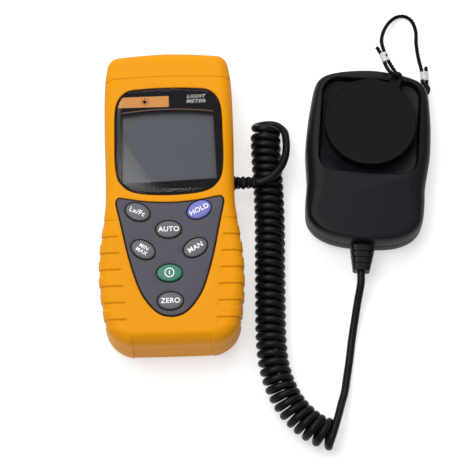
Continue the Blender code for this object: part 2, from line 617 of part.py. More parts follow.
def main():
    clear_scene()
    yellow = material("yellow_case", (0.92, 0.38, 0.03), 0.45)
    black = material("black_case", (0.012, 0.012, 0.014), 0.4)
    rubber = material("grey_rubber", (0.1, 0.1, 0.11), 0.7)
    cord = material("black_cord", (0.01, 0.01, 0.011), 0.5)
    metal = material("zinc_steel", (0.6, 0.6, 0.62), 0.35, 1.0)
    board = material("green_board", (0.02, 0.16, 0.06), 0.4)
    clear = material("clear_sleeve", (0.75, 0.77, 0.78), 0.15, alpha=0.5)
    keys = {"plain": material("key_grey", (0.15, 0.14, 0.16), 0.5),
            "key_hold": material("key_violet", (0.13, 0.14, 0.5), 0.5),
            "key_power": material("key_green", (0.02, 0.28, 0.15), 0.5)}

    front_cover(yellow)
    rear_cover(yellow)
    battery_door(yellow)
    clear_lens = material("clear_lens", (0.8, 0.82, 0.85), 0.05, alpha=0.2)
    lens_black = material("lens_black", (0.01, 0.01, 0.012), 0.1)
    display(clear_lens, lens_black, material("lcd_grey", (0.13, 0.14, 0.16), 0.25), rubber)
    keypad(material("panel_grey", (0.07, 0.06, 0.08), 0.5), rubber, keys)
    jacket = material("battery_jacket", (0.03, 0.03, 0.035), 0.35)
    meter_inside(board, jacket, {"stud": metal, "cap": rubber})
    case_screws(metal)
    meter_gland(cord)

    head = bpy.data.objects.new("head_place", None)
    bpy.context.scene.collection.objects.link(head)
    place(head, *HEAD_PLACE, 0.0, HEAD_TURN)
    lead(cord, head)
    head_covers(black, head)
    sensor(head, {"opal": material("opal", (0.85, 0.85, 0.82), 0.4), "black": black, "metal": metal,
                  "board": board, "filter": material("filter_green", (0.3, 0.42, 0.28), 0.1)})
    head_screws(metal, head)
    head_relief(cord, head)
    sensor_cap(black, head)
    keeper(cord, clear, head)


main()
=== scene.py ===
"""Looks of the handheld light meter and its sensor head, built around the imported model. Metres, +Z up."""

import json
import math

import bpy
import numpy as np
from mathutils import Matrix, Vector


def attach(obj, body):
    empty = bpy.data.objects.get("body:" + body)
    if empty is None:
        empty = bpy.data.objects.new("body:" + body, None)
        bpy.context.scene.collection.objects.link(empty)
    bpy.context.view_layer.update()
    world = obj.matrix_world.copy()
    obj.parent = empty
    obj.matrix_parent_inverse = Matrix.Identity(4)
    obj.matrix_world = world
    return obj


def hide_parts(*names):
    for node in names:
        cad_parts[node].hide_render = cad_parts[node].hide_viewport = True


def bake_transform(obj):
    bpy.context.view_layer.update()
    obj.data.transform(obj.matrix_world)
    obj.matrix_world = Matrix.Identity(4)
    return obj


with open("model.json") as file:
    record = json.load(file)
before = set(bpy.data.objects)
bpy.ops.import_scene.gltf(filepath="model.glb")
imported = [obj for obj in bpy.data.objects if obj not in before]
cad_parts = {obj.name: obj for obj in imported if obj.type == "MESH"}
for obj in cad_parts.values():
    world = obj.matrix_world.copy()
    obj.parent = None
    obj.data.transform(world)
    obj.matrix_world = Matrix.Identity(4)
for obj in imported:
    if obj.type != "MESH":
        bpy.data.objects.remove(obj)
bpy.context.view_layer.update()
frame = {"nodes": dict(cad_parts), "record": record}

MM = 0.001

# Meter case, as in the solid model but finely sampled. Heights are above the flat back.
CASE_TOP, CASE_BOTTOM, CASE_SPLIT, CASE_FRONT = 75.9, -75.5, 17, 33
CASE_SIDE = [(34.1, -55.5), (35.2, -46.5), (35.5, -36), (34.7, -24), (33.1, -13),
             (31.9, -3), (31.8, 12), (32.1, 30), (32.1, 48), (31.7, 60), (30.7, 67.7)]
# The rounded corners: centre x, centre y, radius across, radius along.
CORNER_TOP = (23.9, 67.7, 6.7, 6.7)
CORNER_BOTTOM = (17, -60, 16.2, 15.4)
CASE_SPINE = (-52, 60)
CASE_WALL = 2.2
# The front's rounded edge: the height it starts at, how far in that is, and how much further it goes in.
EDGE_START, EDGE_LEAN, EDGE_REACH = 26, 0.2, 6
EDGE_RISE = CASE_FRONT - EDGE_START
# The back's rounded edge: its height and how far it goes in.
BACK_RISE, BACK_REACH = 4.6, 4
# The fine line across the case above the window: y at its sides, rise to its middle, half span, radius,
# and half the width of the case there.
TOP_LINE_Y, TOP_LINE_RISE, TOP_LINE_HALF, TOP_LINE_RADIUS = 60.2, 1.2, 29, 0.32
TOP_LINE_CASE_HALF = 31.7
END_PANEL_HALF, END_PANEL_DEPTH, END_PANEL_BELOW = 19.5, 0.7, -60
RIB_COUNT, RIB_PITCH, RIB_FIRST_Y, RIB_SLANT = 7, 8.33, -13.3, 0.2
RIB_FIRST_SHARE = 0.55
# Where the grooves end towards the middle: x at this y, and how x grows with y.
RIB_END_X, RIB_END_Y, RIB_END_LEAN = 25.4, -20, 0.095
# A groove's section below its line: how far down, and how deep.
RIB_SECTION = [(-0.35, 0), (0, 0.95), (0.4, 0.95), (0.8, 0.5), (3.2, 0.45), (3.75, 0)]
# Half the gap between the two shells, and the small chamfer beside it: height and depth.
SEAM, SEAM_CHAMFER = 0.1, (0.12, 0.14)

LENS_RIGHT = [(20.9, 53.4), (25.9, 46), (26.7, 30), (26.4, 13), (23.6, 4.8), (16.2, 0.2)]
LENS_TOP_Y, LENS_BOTTOM_Y = 55.3, -1.2
PANEL_RIGHT = [(25.5, -2.3), (26.5, -4), (26.2, -7), (24.1, -16.5), (20.8, -32), (16.5, -46.5),
               (12.4, -54.6), (6.6, -60.8)]
PANEL_TOP_Y, PANEL_BOTTOM_Y = -4.7, -62.7
GAP = 0.7
# Heights, bottom and top: what goes right through the front, window, print under it, display, keypad panel.
THROUGH_FRONT = (28, 34)
LENS_LEVELS, PRINT_LEVELS, LCD_LEVELS, PANEL_LEVELS = (32.3, 33.85), (31.6, 32), (27.2, 29.8), (32.1, 33.4)
LENS_FLOOR, PANEL_FLOOR = 31.3, 31.8
# The display: centre x, centre y, width, length.
WINDOW = (0.3, 24, 45.8, 34.4)
# The opening printed round the display: left side, right side (each bottom, top), bottom (left, right), top.
WINDOW_EDGES = ((-22.8, -23.1), (23.2, 22.3), (5.5, 7.3), 42.3)
ARCH_RISE = 1.7
# The badge strip: its right end, bottom and top.
BADGE = (0.4, 45.4, 51.2)
SUN_PLACE, SUN_RAYS = (-11.5, 48.3), 8
WORDS_PLACE = (14, 49.5)

# A key: half width and half length, the rounding of its edge, where that starts, and the crown of its top.
KEY_HALF = (6.1, 4.3)
KEY_ROUNDING, KEY_SHOULDER_Z, KEY_TOP_Z, KEY_CROWN = 0.7, 33.4, 34.25, 0.28
LEGEND_HEIGHT = 0.02
# Centre x, centre y, turn, legend, legend size, finish.
KEYS = {
    "key_unit": (-15.7, -9.7, -24, "Lx/Fc", 3.5, "key_grey"),
    "key_hold": (14.2, -9.3, 26, "HOLD", 3.5, "key_violet"),
    "key_auto": (-0.8, -19, 0, "AUTO", 3.5, "key_grey"),
    "key_min_max": (-13.3, -28.9, -32, "MIN\nMAX", 2.7, "key_grey"),
    "key_manual": (11.9, -28.6, 29, "MAN", 3.5, "key_grey"),
    "key_power": (-0.8, -41, 0, "", 0, "key_green"),
    "key_zero": (-0.6, -54.9, 0, "ZERO", 3.5, "key_grey"),
}
# The battery door: width, lower and upper y, thickness.
DOOR = (29.4, -73.4, -24.6, 2)
CASE_SCREWS = [(-25, 62), (25, 62), (-23, -62), (23, -62)]
# A screw: seat of its head, head radius, height of its tip, shank radius.
CASE_SCREW = (3.1, 2.3, 23, 1.1)
HEAD_SCREW = (2.6, 1.9, 12.6, 0.95)

# Sensor head, in its own frame: u across, v along from the lead end.
HEAD_PLACE = (94.5, -23.2)
HEAD_TURN = -5.9
HEAD_SIDE = [(0, 0.3), (13.4, 1.4), (21.4, 4.1), (26.2, 7.9), (28.9, 13), (29.6, 22), (29.5, 31),
             (30.4, 39.5), (31.3, 49), (31.1, 62), (30.2, 72.5), (29.1, 80.5), (27.1, 85.4), (22.4, 88.4),
             (13, 90.6), (0, 91.8)]
HEAD_CREASE = [(0, 1.6), (12.8, 2.8), (20.1, 5.5), (24.3, 9.3), (26.1, 13.9), (24.4, 22), (23.7, 31),
               (24.9, 39.5), (26.6, 48.6), (27, 61.5), (26.6, 71.5), (25.9, 78.5), (24.2, 83.4), (20.6, 86.5),
               (12.4, 88.8), (0, 90)]
HEAD_SPLIT, HEAD_EDGE_START, HEAD_CREASE_Z = 10, 13, 20.2
HEAD_WALL = 2
# The recess: centre u, centre v, width, length, corner radius.
RECESS = (0, 60.8, 49.6, 50, 8.5)
RECESS_FLOOR = 16.5
SENSOR_V = 61.2
CAP_RADIUS, CAP_BASE_Z, CAP_TOP_Z = 22.8, 16.9, 24.9
CAP_LUG = (11.9, 86.2)
CAP_LUG_TURN = -14
CAP_LUG_LEVELS = (22.5, 24.7)
HEAD_SCREWS = [(-21, 10), (21, 10), (-22.6, 79), (22.6, 79)]
EYELET = (27.2, 87.2)

# Lead route, repeated from the solid model, with a few more points where it runs into and out of the helix.
WIRE = 3.9
# The relief at the meter: y and z of its axis, and the radius of its hole in the case.
GLAND = (9.7, 17)
GLAND_HOLE = 3.95
LEAD_OVER_CURL = [(36, 9.7, 17), (43.4, 9.7, 17), (46, 10, 17.6), (49.6, 11.5, 18),
                  (53.2, 14.6, 17.7), (56.1, 19.4, 15.2), (58, 25.2, 12.4), (58.8, 31, 10.2),
                  (58.8, 35.6, 8.4), (58.2, 40.4, 6.2), (54.8, 44.5, 4.2), (50.4, 45.8, 3.2), (46, 44.7, 4.6),
                  (43.8, 43.3, 6.6), (43.3, 41.6, 9.2), (44.4, 40.4, 11.8), (46.3, 39.9, 13.1)]
CURL_LINE = [(48.5, 39.8, 7.75), (48.5, 26, 7.75), (49, 8, 7.75), (49, -10, 7.75),
             (48.5, -26, 7.75), (47.9, -48, 7.75), (47.5, -66, 7.75), (48.1, -79, 7.75),
             (50.1, -88.8, 7.75), (53, -96.7, 7.75), (57, -103.6, 7.75), (61.5, -108.8, 7.75),
             (66.2, -112.9, 7.75), (71.2, -115.6, 7.75), (75, -116.8, 7.75)]
CURL_RADIUS = 5.75
# The helix gets a little wider towards its end: from and to which share of its turns, and by how much.
CURL_WIDENING = (0.72, 0.92, 0.15)
# Its pitch: turns made, and the share of the length covered by then.
CURL_TURNS = 39.75
CURL_PITCH = [(0, 0), (26, 0.643), (38.4, 0.957), (CURL_TURNS, 1)]
CURL_STEPS_PER_TURN = 18
LEAD_TO_HEAD = [(73.3, -122.2, 9.9), (73.8, -120.9, 11.6), (74.9, -118.2, 12.5), (76.4, -114, 11.8),
                (78.2, -108.7, 9.6), (80.6, -100.9, 6.5), (82.4, -95.3, 4.6), (83.9, -88, 3.1),
                (85.7, -78.8, 2.2), (87.5, -68, 2.2), (90.8, -51, 6.2), (92.7, -42.4, 9.5),
                (93.1, -36.8, 10), (93.9, -29, 10)]

# Keeper cord of the cap, and the sleeves crimped on it: centre, heading of the long side.
KEEPER, KEEPER_STRANDS, KEEPER_LAY = 2, 3, 5.5
# A sleeve's length, width and height, how much it is pinched at its middle, and its runs' distance from it.
CRIMP, CRIMP_PINCH = (4.8, 4.2, 3), 0.14
CRIMP_RUN = 1.05
CRIMP_CAP = ((109.9, 73.3, 22), 109)
CRIMP_HEAD = ((131.7, 69.6, 4.4), 90)
KEEPER_ARC = [(109.5, 83.6, 16.6), (110.3, 89, 12.2), (112.5, 95.4, 8.2), (115.9, 101.2, 4),
              (119.8, 104.7, 1.7), (124, 105.1, 1.2), (127.5, 102.3, 1.2), (129.2, 96.6, 1.2),
              (129, 89, 1.4), (129.5, 80.6, 2.6)]
KEEPER_CAP_LOOP = [(110.4, 67.2, 24), (111.6, 63.8, 26.1), (113.4, 61.8, 26.8), (114.9, 61.3, 26.2),
                   (115.2, 61.2, 24.3), (115.3, 61.4, 22.5), (115.6, 62.5, 21.45), (115.4, 64.4, 21.4),
                   (113.9, 67.2, 21.5)]
KEEPER_HEAD_LOOP = [(130, 65.6, 7.8), (129.9, 64, 10.3), (130.3, 62, 11.1), (130.5, 60.8, 9.1),
                    (130.6, 60.7, 6.4), (131.3, 61.8, 4.4), (132.4, 63.8, 3)]
KEEPER_CAP_TAIL = (106.4, 78.9, 21.8)
KEEPER_HEAD_TAIL = (132.9, 74.8, 4.2)

# The camera's place and aim in metres, its focal length and film width in millimetres, and the lights' power.
CAMERA_PLACE, CAMERA_AIM = (0.02224, -0.2840, 0.8417), (0.03034, -0.0106, 0)
CAMERA_LENS, CAMERA_FILM = 136.1, 36
KEY_LIGHT_POWER, TOP_LIGHT_POWER, WORLD_POWER = 8.8, 7.6, 0.54
FLOOR_GREY, FLOOR_GLOW = 0.48, 0.52


# ---- curves and outlines

def curve_through(points, steps, closed=False):
    """Catmull-Rom curve: steps points for each span, and the last point of an open curve."""
    points = np.array(points, float)
    count = len(points)
    spans = count if closed else count - 1
    t = (np.arange(steps) / steps)[:, None]
    found = []
    for i in range(spans):
        around = [(i + k) % count if closed else min(max(i + k, 0), count - 1) for k in (-1, 0, 1, 2)]
        a, b, c, d = points[around]
        square, cube = 2 * a - 5 * b + 4 * c - d, 3 * b - a - 3 * c + d
        found.append(0.5 * (2 * b + (c - a) * t + square * t * t + cube * t ** 3))
    if not closed:
        found.append(points[-1:])
    return np.concatenate(found)


def arc(centre_x, centre_y, radius_x, radius_y, start, end, steps):
    """Points of an arc of an ellipse, from start to end in degrees."""
    angles = np.radians(np.linspace(start, end, steps + 1))
    return [(centre_x + radius_x * math.cos(a), centre_y + radius_y * math.sin(a)) for a in angles]


def mirrored(right):
    """A closed anticlockwise outline from its right half, listed bottom to top."""
    return np.array([*right, *[(-x, y) for x, y in reversed(right) if x > 0.01]], float)


def resampled(outline, spacing):
    """A closed outline with points the wanted distance apart: spacing(x, y) gives it at each place."""
    closed = np.vstack([outline, outline[:1]])
    steps = np.linalg.norm(np.diff(closed, axis=0), axis=1)
    middle = (closed[1:] + closed[:-1]) / 2
    weight = steps / np.array([spacing(x, y) for x, y in middle])
    total = np.concatenate([[0], np.cumsum(weight)])
    count = int(round(total[-1] / 2)) * 2
    wanted = np.arange(count) * total[-1] / count
    return np.stack([np.interp(wanted, total, closed[:, k]) for k in (0, 1)], axis=1)


def plan_normals(outline):
    """Outward directions of an anticlockwise outline."""
    along = np.roll(outline, -1, axis=0) - np.roll(outline, 1, axis=0)
    along /= np.linalg.norm(along, axis=1)[:, None]
    return np.stack([along[:, 1], -along[:, 0]], axis=1)


def inset(outline, distance):
    """A smooth anticlockwise outline, moved inwards by the distance."""
    return outline - plan_normals(outline) * distance


def lifted(outline, height):
    """The flat outline as points at a height."""
    return np.column_stack([outline, np.full(len(outline), height)])


def case_outline(spacing):
    """The case seen from above."""
    right = [(0, CASE_BOTTOM), (8, CASE_BOTTOM + 0.02)]
    right += arc(*CORNER_BOTTOM, -90, -10, 8)
    side = curve_through(CASE_SIDE, 4)
    right += [tuple(p) for p in side]
    right += arc(*CORNER_TOP, 12, 90, 5)
    right += [(13, CASE_TOP - 0.55), (0, CASE_TOP)]
    return resampled(curve_through(mirrored(right), 6, closed=True), spacing)


def case_inner():
    """The hollow of the case seen from above, a plainer outline than its outside."""
    right = [(0, CASE_BOTTOM + 0.6)] + arc(*CORNER_BOTTOM, -90, 0, 5)
    right += [(34, -52), (34.2, -44), (33.6, -30), (32.2, -14), (31.2, 0), (31.5, 30)]
    right += arc(*CORNER_TOP, 0, 90, 4)
    right += [(0, CASE_TOP - 0.2)]
    return inset(resampled(mirrored(right), lambda x, y: 3), CASE_WALL)


def face_outline(right, spacing, shrink):
    return inset(resampled(curve_through(mirrored(right), 12, closed=True), lambda x, y: spacing), shrink)


def lens_outline(shrink=0.0):
    right = [(0, LENS_BOTTOM_Y), *reversed(LENS_RIGHT), (12, LENS_TOP_Y - 0.35), (0, LENS_TOP_Y)]
    return face_outline(right, 0.7, shrink)


def panel_outline(shrink=0.0):
    right = [(0, PANEL_BOTTOM_Y), *reversed(PANEL_RIGHT), (23.6, -2), (12.5, PANEL_TOP_Y + 0.8),
             (0, PANEL_TOP_Y)]
    return face_outline(right, 0.6, shrink)


def oval(half_x, half_y, count=64):
    angles = np.arange(count) * 2 * math.pi / count
    return np.column_stack([half_x * np.cos(angles), half_y * np.sin(angles)])


def round_rectangle(x, y, width, length, radius, steps=8):
    right, up = width / 2 - radius, length / 2 - radius
    found = []
    for cx, cy, start in ((right, -up, -90), (right, up, 0), (-right, up, 90), (-right, -up, 180)):
        found += arc(x + cx, y + cy, radius, radius, start, start + 90, steps)
    return np.array(found)


# ---- meshes

def skin(rings, looped=False):
    """Points and faces of a surface through equal rings, closed at its ends or round into a ring."""
    count = len(rings[0])
    faces = []
    spans = len(rings) if looped else len(rings) - 1
    for k in range(spans):
        low, high = k * count, ((k + 1) % len(rings)) * count
        for i in range(count):
            j = (i + 1) % count
            faces.append((low + i, low + j, high + j, high + i))
    if not looped:
        last = (len(rings) - 1) * count
        faces.append(tuple(reversed(range(count))))
        faces.append(tuple(range(last, last + count)))
    return np.concatenate(rings), faces


def stacked(outline, levels):
    """A closed shape: the outline, moved inwards by the distance given at each height."""
    return skin([lifted(inset(outline, distance), height) for height, distance in levels])


def joined(*shapes):
    """Several closed shapes as one list of points and faces."""
    points, faces = [], []
    start = 0
    for some_points, some_faces in shapes:
        points.append(some_points)
        faces += [tuple(i + start for i in face) for face in some_faces]
        start += len(some_points)
    return np.concatenate(points), faces


def linked(name, data):
    """A new object in the scene."""
    obj = bpy.data.objects.new(name, data)
    bpy.context.scene.collection.objects.link(obj)
    return obj


def mesh_object(name, shape):
    """A new object from points in millimetres and their faces."""
    points, faces = shape
    mesh = bpy.data.meshes.new(name)
    mesh.from_pydata((np.asarray(points) * MM).tolist(), [], faces)
    mesh.validate()
    return linked(name, mesh)


def soften(obj, degrees):
    """Smooth shading, but for edges sharper than the angle."""
    obj.data.shade_smooth()
    obj.data.set_sharp_from_angle(angle=math.radians(degrees))


def evaluated_mesh(obj):
    graph = bpy.context.evaluated_depsgraph_get()
    return bpy.data.meshes.new_from_object(obj.evaluated_get(graph))


def carve(obj, *shapes, operation="DIFFERENCE"):
    """Cuts closed shapes from the object, or joins them to it, one by one."""
    tools = []
    for shape in shapes:
        tool = mesh_object("tool", shape)
        modifier = obj.modifiers.new("tool", "BOOLEAN")
        modifier.operation = operation
        modifier.object = tool
        tools.append(tool)
    mesh = evaluated_mesh(obj)
    obj.modifiers.clear()
    obj.data = mesh
    for tool in tools:
        bpy.data.objects.remove(tool)


def piece(obj, finish, body, replaced=()):
    """Finishes an object: shading, material, body, and the nodes that it stands for."""
    soften(obj, 32)
    obj.data.materials.clear()
    obj.data.materials.append(MATERIALS[finish])
    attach(obj, body)
    if replaced:
        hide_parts(*replaced)
    return obj


def turned(profile, count, looped=False):
    """A solid of revolution about Z: profile is (height, radius)."""
    circle = oval(1, 1, count)
    return skin([lifted(circle * radius, height) for height, radius in profile], looped)


def rounded_profile(points, radius, steps=4):
    """A profile whose inner corners are rounded off, each by an arc-like curve of about the radius."""
    points = [np.array(p, float) for p in points]
    found = [tuple(points[0])]
    for before, corner, after in zip(points, points[1:], points[2:]):
        into, out = before - corner, after - corner
        reach = min(radius, np.linalg.norm(into) * 0.45, np.linalg.norm(out) * 0.45)
        start = corner + into / np.linalg.norm(into) * reach
        end = corner + out / np.linalg.norm(out) * reach
        for k in range(steps + 1):
            t = k / steps
            found.append(tuple((1 - t) ** 2 * start + 2 * t * (1 - t) * corner + t * t * end))
    found.append(tuple(points[-1]))
    return found


def plate(outline, levels, edge, crown, centre, rings):
    """A plate with a rounded top edge and a crowned top, closed to a small flat at its centre."""
    low, high = levels
    middle = np.array(centre)
    found = [lifted(inset(outline, edge * 0.3), low), lifted(outline, low + edge * 0.3),
             lifted(outline, high - edge)]
    for k in range(1, 6):
        a = math.pi / 2 * k / 5
        found.append(lifted(inset(outline, edge * (1 - math.cos(a))), high - edge + edge * math.sin(a)))
    rim = inset(outline, edge)
    for k in range(1, rings + 1):
        t = k / rings * 0.97
        found.append(lifted(rim + (middle - rim) * t, high + crown * (1 - (1 - t) ** 2)))
    return skin(found)


def pocket(outline, floor, face, flare=0.35):
    """A cutter for a pocket with a rounded rim and a small fillet at its floor."""
    levels = [(floor, 0.2), (floor + 0.2, 0), (face - flare, 0), (face - 0.55 * flare, -0.08),
              (face - 0.2 * flare, -0.45 * flare), (face, -flare), (face + 0.5, -flare - 0.5)]
    return stacked(outline, levels)


def straight_cut(outline, low, high):
    """The outline as a straight block between two heights."""
    return skin([lifted(outline, low), lifted(outline, high)])


def moved(shape, x=0, y=0, z=0, turn=0, tilt=None):
    """A shape turned about Z, or tilted so that +Z lies along tilt, and then moved."""
    points, faces = shape
    matrix = Matrix.Rotation(math.radians(turn), 3, "Z")
    if tilt is not None:
        matrix = Vector(tilt).to_track_quat("Z", "Y").to_matrix()
    return points @ np.array(matrix).T + np.array([x, y, z]), faces


def tangents_of(path):
    tangents = np.gradient(path, axis=0)
    return tangents / np.linalg.norm(tangents, axis=1)[:, None]


def travelled(path):
    """How far along the path each of its points lies."""
    return np.concatenate([[0], np.cumsum(np.linalg.norm(np.diff(path, axis=0), axis=1))])


def swept(path, radius, sides, strands=0, lay=1):
    """A tube along the path with rounded ends: plain, or with strands that go round once in each lay."""
    path = np.asarray(path, float)
    tangents = tangents_of(path)
    normal = np.cross(tangents[0], (0, 0, 1))
    if np.linalg.norm(normal) < 1e-3:
        normal = np.cross(tangents[0], (0, 1, 0))
    angles = np.arange(sides) * 2 * math.pi / sides
    rings = []
    for point, tangent, distance in zip(path, tangents, travelled(path)):
        normal = normal - tangent * np.dot(normal, tangent)
        normal /= np.linalg.norm(normal)
        other = np.cross(tangent, normal)
        bulge = np.ones(sides)
        if strands:
            bulge = 0.9 + 0.13 * np.cos(strands * (angles - 2 * math.pi * distance / lay))
        ring = np.cos(angles)[:, None] * normal + np.sin(angles)[:, None] * other
        rings.append(point + radius * bulge[:, None] * ring)
    first = path[0] + (rings[0] - path[0]) * 0.6 - tangents[0] * radius * 0.25
    last = path[-1] + (rings[-1] - path[-1]) * 0.6 + tangents[-1] * radius * 0.25
    return skin([first, *rings, last])


# ---- materials

MATERIALS = {}


def surface(name, colour, roughness, grain, grain_depth, spread, rough_spread=0.08, mottle=18, metallic=0,
            alpha=1, specular=0.5):
    """A Principled material with mottled colour and roughness, and a fine moulded grain as bump.

    grain and mottle are noise scales, grain_depth is in millimetres, and spread is a share of the colour.
    """
    made = bpy.data.materials.new(name)
    made.use_nodes = True
    nodes, links = made.node_tree.nodes, made.node_tree.links
    shader = nodes["Principled BSDF"]
    for label, value in (("Metallic", metallic), ("Alpha", alpha), ("Specular IOR Level", specular)):
        shader.inputs[label].default_value = value
    place = nodes.new("ShaderNodeTexCoord")
    cloud, fine = nodes.new("ShaderNodeTexNoise"), nodes.new("ShaderNodeTexNoise")
    for noise, scale, detail in ((cloud, mottle, 5), (fine, grain, 3)):
        noise.inputs["Scale"].default_value = scale
        noise.inputs["Detail"].default_value = detail
        links.new(place.outputs["Object"], noise.inputs["Vector"])
    ramp = nodes.new("ShaderNodeValToRGB")
    for end, position, factor in zip(ramp.color_ramp.elements, (0.3, 0.7), (1 - spread, 1 + spread)):
        end.position = position
        end.color = (*[min(1, c * factor) for c in colour], 1)
    links.new(cloud.outputs["Fac"], ramp.inputs["Fac"])
    links.new(ramp.outputs["Color"], shader.inputs["Base Color"])
    rough = nodes.new("ShaderNodeMapRange")
    rough.inputs["To Min"].default_value = max(0.02, roughness - rough_spread)
    rough.inputs["To Max"].default_value = min(1, roughness + rough_spread)
    links.new(fine.outputs["Fac"], rough.inputs["Value"])
    links.new(rough.outputs["Result"], shader.inputs["Roughness"])
    if grain_depth:
        bump = nodes.new("ShaderNodeBump")
        bump.inputs["Strength"].default_value = 0.6
        bump.inputs["Distance"].default_value = grain_depth * MM
        links.new(fine.outputs["Fac"], bump.inputs["Height"])
        links.new(bump.outputs["Normal"], shader.inputs["Normal"])
    MATERIALS[name] = made


def make_materials():
    surface("yellow_case", (0.61, 0.238, 0.003), 0.45, 2600, 0.03, 0.03, specular=0.06)
    surface("black_case", (0.0042, 0.0042, 0.0064), 0.42, 2200, 0.03, 0.15, specular=0.1)
    surface("black_cap", (0.0022, 0.0022, 0.0032), 0.45, 2200, 0.03, 0.15, specular=0.07)
    surface("braid", (0.0014, 0.0013, 0.0018), 0.6, 1400, 0.015, 0.2, specular=0.06)
    surface("lens", (0.004, 0.004, 0.005), 0.04, 60, 0, 0.02, 0.02, alpha=0.14, specular=0.75)
    surface("lens_print", (0.003, 0.0025, 0.0035), 0.35, 300, 0, 0.1, 0.05, specular=0.04)
    surface("lcd", (0.097, 0.105, 0.126), 0.35, 900, 0, 0.08, 0.04, mottle=8, specular=0.2)
    surface("panel", (0.043, 0.040, 0.055), 0.55, 3200, 0.02, 0.08, specular=0.3)
    surface("key_grey", (0.074, 0.070, 0.084), 0.50, 1800, 0.012, 0.06, specular=0.4)
    surface("key_violet", (0.107, 0.121, 0.39), 0.48, 1800, 0.012, 0.06, specular=0.4)
    surface("key_green", (0.013, 0.135, 0.082), 0.48, 1800, 0.012, 0.06, specular=0.4)
    surface("legend", (0.80, 0.80, 0.80), 0.55, 1200, 0, 0.02)
    surface("badge", (0.74, 0.29, 0.035), 0.45, 900, 0, 0.03)
    surface("hairline", (0.26, 0.12, 0.05), 0.4, 900, 0, 0.05)
    # Dark brown painted shade for the gaps round the window and the keypad.
    surface("painted_gap_shade", (0.022, 0.009, 0.004), 0.8, 1500, 0.02, 0.1, specular=0.1)
    surface("dark_rubber", (0.05, 0.05, 0.055), 0.75, 1500, 0.02, 0.1)
    surface("board", (0.02, 0.16, 0.06), 0.35, 700, 0.02, 0.2, mottle=90)
    surface("steel", (0.58, 0.58, 0.60), 0.32, 1500, 0.01, 0.05, metallic=1)
    surface("battery", (0.03, 0.03, 0.034), 0.3, 300, 0, 0.1)
    surface("cord", (0.0030, 0.0024, 0.0034), 0.38, 1400, 0.012, 0.15, specular=0.13)
    surface("opal", (0.85, 0.85, 0.82), 0.4, 1400, 0.01, 0.02)
    surface("filter", (0.25, 0.38, 0.22), 0.1, 300, 0, 0.05, alpha=0.7)
    surface("clear_sleeve", (0.82, 0.82, 0.84), 0.15, 600, 0.02, 0.04, alpha=0.55)


# ---- meter case

def rib_depth(points):
    """How deep each point of the case lies in a groove of the grip."""
    found = np.zeros(len(points))
    for k in range(RIB_COUNT):
        line = RIB_FIRST_Y - RIB_PITCH * k + RIB_SLANT * (CASE_FRONT - points[:, 2])
        below = line - points[:, 1]
        groove = np.interp(below, *np.transpose(RIB_SECTION))
        found = np.maximum(found, groove * (RIB_FIRST_SHARE if k == 0 else 1))
    inner_end = RIB_END_X + RIB_END_LEAN * (points[:, 1] - RIB_END_Y)
    return found * np.interp(np.abs(points[:, 0]) - inner_end, [0, 0.7], [0, 1])


def worked_ring(ring, outward, rise, rib_share, end_share):
    """Presses the ribs and the end panel into one ring: outward is the plan normal, rise its upward part."""
    depth = rib_depth(ring) * rib_share
    level = np.sqrt(max(0, 1 - rise * rise))
    in_panel = np.interp(END_PANEL_HALF - np.abs(ring[:, 0]), [-0.15, 0.15], [0, 1])
    depth = depth + in_panel * (ring[:, 1] < END_PANEL_BELOW) * END_PANEL_DEPTH * end_share
    moved_ring = ring.copy()
    moved_ring[:, :2] -= outward * (depth * level)[:, None]
    moved_ring[:, 2] -= depth * rise
    return moved_ring


def case_spacing(x, y):
    """Fine steps round the case where it has its ribs and the sides of its end panel."""
    if y < -74 and abs(abs(x) - END_PANEL_HALF) < 1.2:
        return 0.15
    if -70 < y < -12 and abs(x) > 26:
        return 0.22
    return 1.1


def front_rings(outline):
    """Rings of the front cover's outside, from its seam up its side and over on to its face."""
    normals = plan_normals(outline)
    rise, depth = SEAM_CHAMFER
    levels = [(CASE_SPLIT + SEAM, depth, 0), (CASE_SPLIT + SEAM + rise, 0, 0)]
    levels += [(z, 0.02 * (z - CASE_SPLIT), 0) for z in np.linspace(CASE_SPLIT + 0.5, EDGE_START, 8)]
    for a in np.linspace(0, math.pi / 2, 14)[1:]:
        reach = EDGE_LEAN + EDGE_REACH * (1 - math.cos(a))
        levels.append((EDGE_START + EDGE_RISE * math.sin(a), reach, math.sin(a)))
    rings = []
    for z, distance, rise in levels:
        ring = lifted(inset(outline, distance), z)
        rings.append(worked_ring(ring, normals, rise, 1 - 0.25 * rise, 1 - rise ** 6))
    rim = inset(outline, EDGE_LEAN + EDGE_REACH)
    spine = np.column_stack([np.zeros(len(rim)), np.clip(rim[:, 1], *CASE_SPINE)])
    for t in np.linspace(0, 0.30, 14)[1:]:
        ring = lifted(rim + (spine - rim) * t, CASE_FRONT)
        rings.append(worked_ring(ring, normals, 1, 0.75, 0))
    return rings


def front_height(x):
    """Height of the front cover's outside across its head, following the rounded side."""
    inside = TOP_LINE_CASE_HALF - abs(x)
    if inside > EDGE_LEAN + EDGE_REACH:
        return CASE_FRONT
    a = math.acos(max(0, min(1, 1 - max(0, inside - EDGE_LEAN) / EDGE_REACH)))
    return EDGE_START + EDGE_RISE * math.sin(a)


def top_line():
    """The groove across the case above the window, bowed a little towards the top."""
    xs = np.linspace(-31, 31, 60)
    line = [(x, TOP_LINE_Y + TOP_LINE_RISE * (1 - (x / TOP_LINE_HALF) ** 2), front_height(x)) for x in xs]
    return swept(line, TOP_LINE_RADIUS, 8)


def at_keys(shape):
    """The shape once for each key, turned and moved to its place."""
    return [moved(shape, x, y, turn=turn) for x, y, turn, *_ in KEYS.values()]


def gland_hole():
    return moved(turned([(26, GLAND_HOLE), (40, GLAND_HOLE)], 40), 0, *GLAND, tilt=(1, 0, 0))


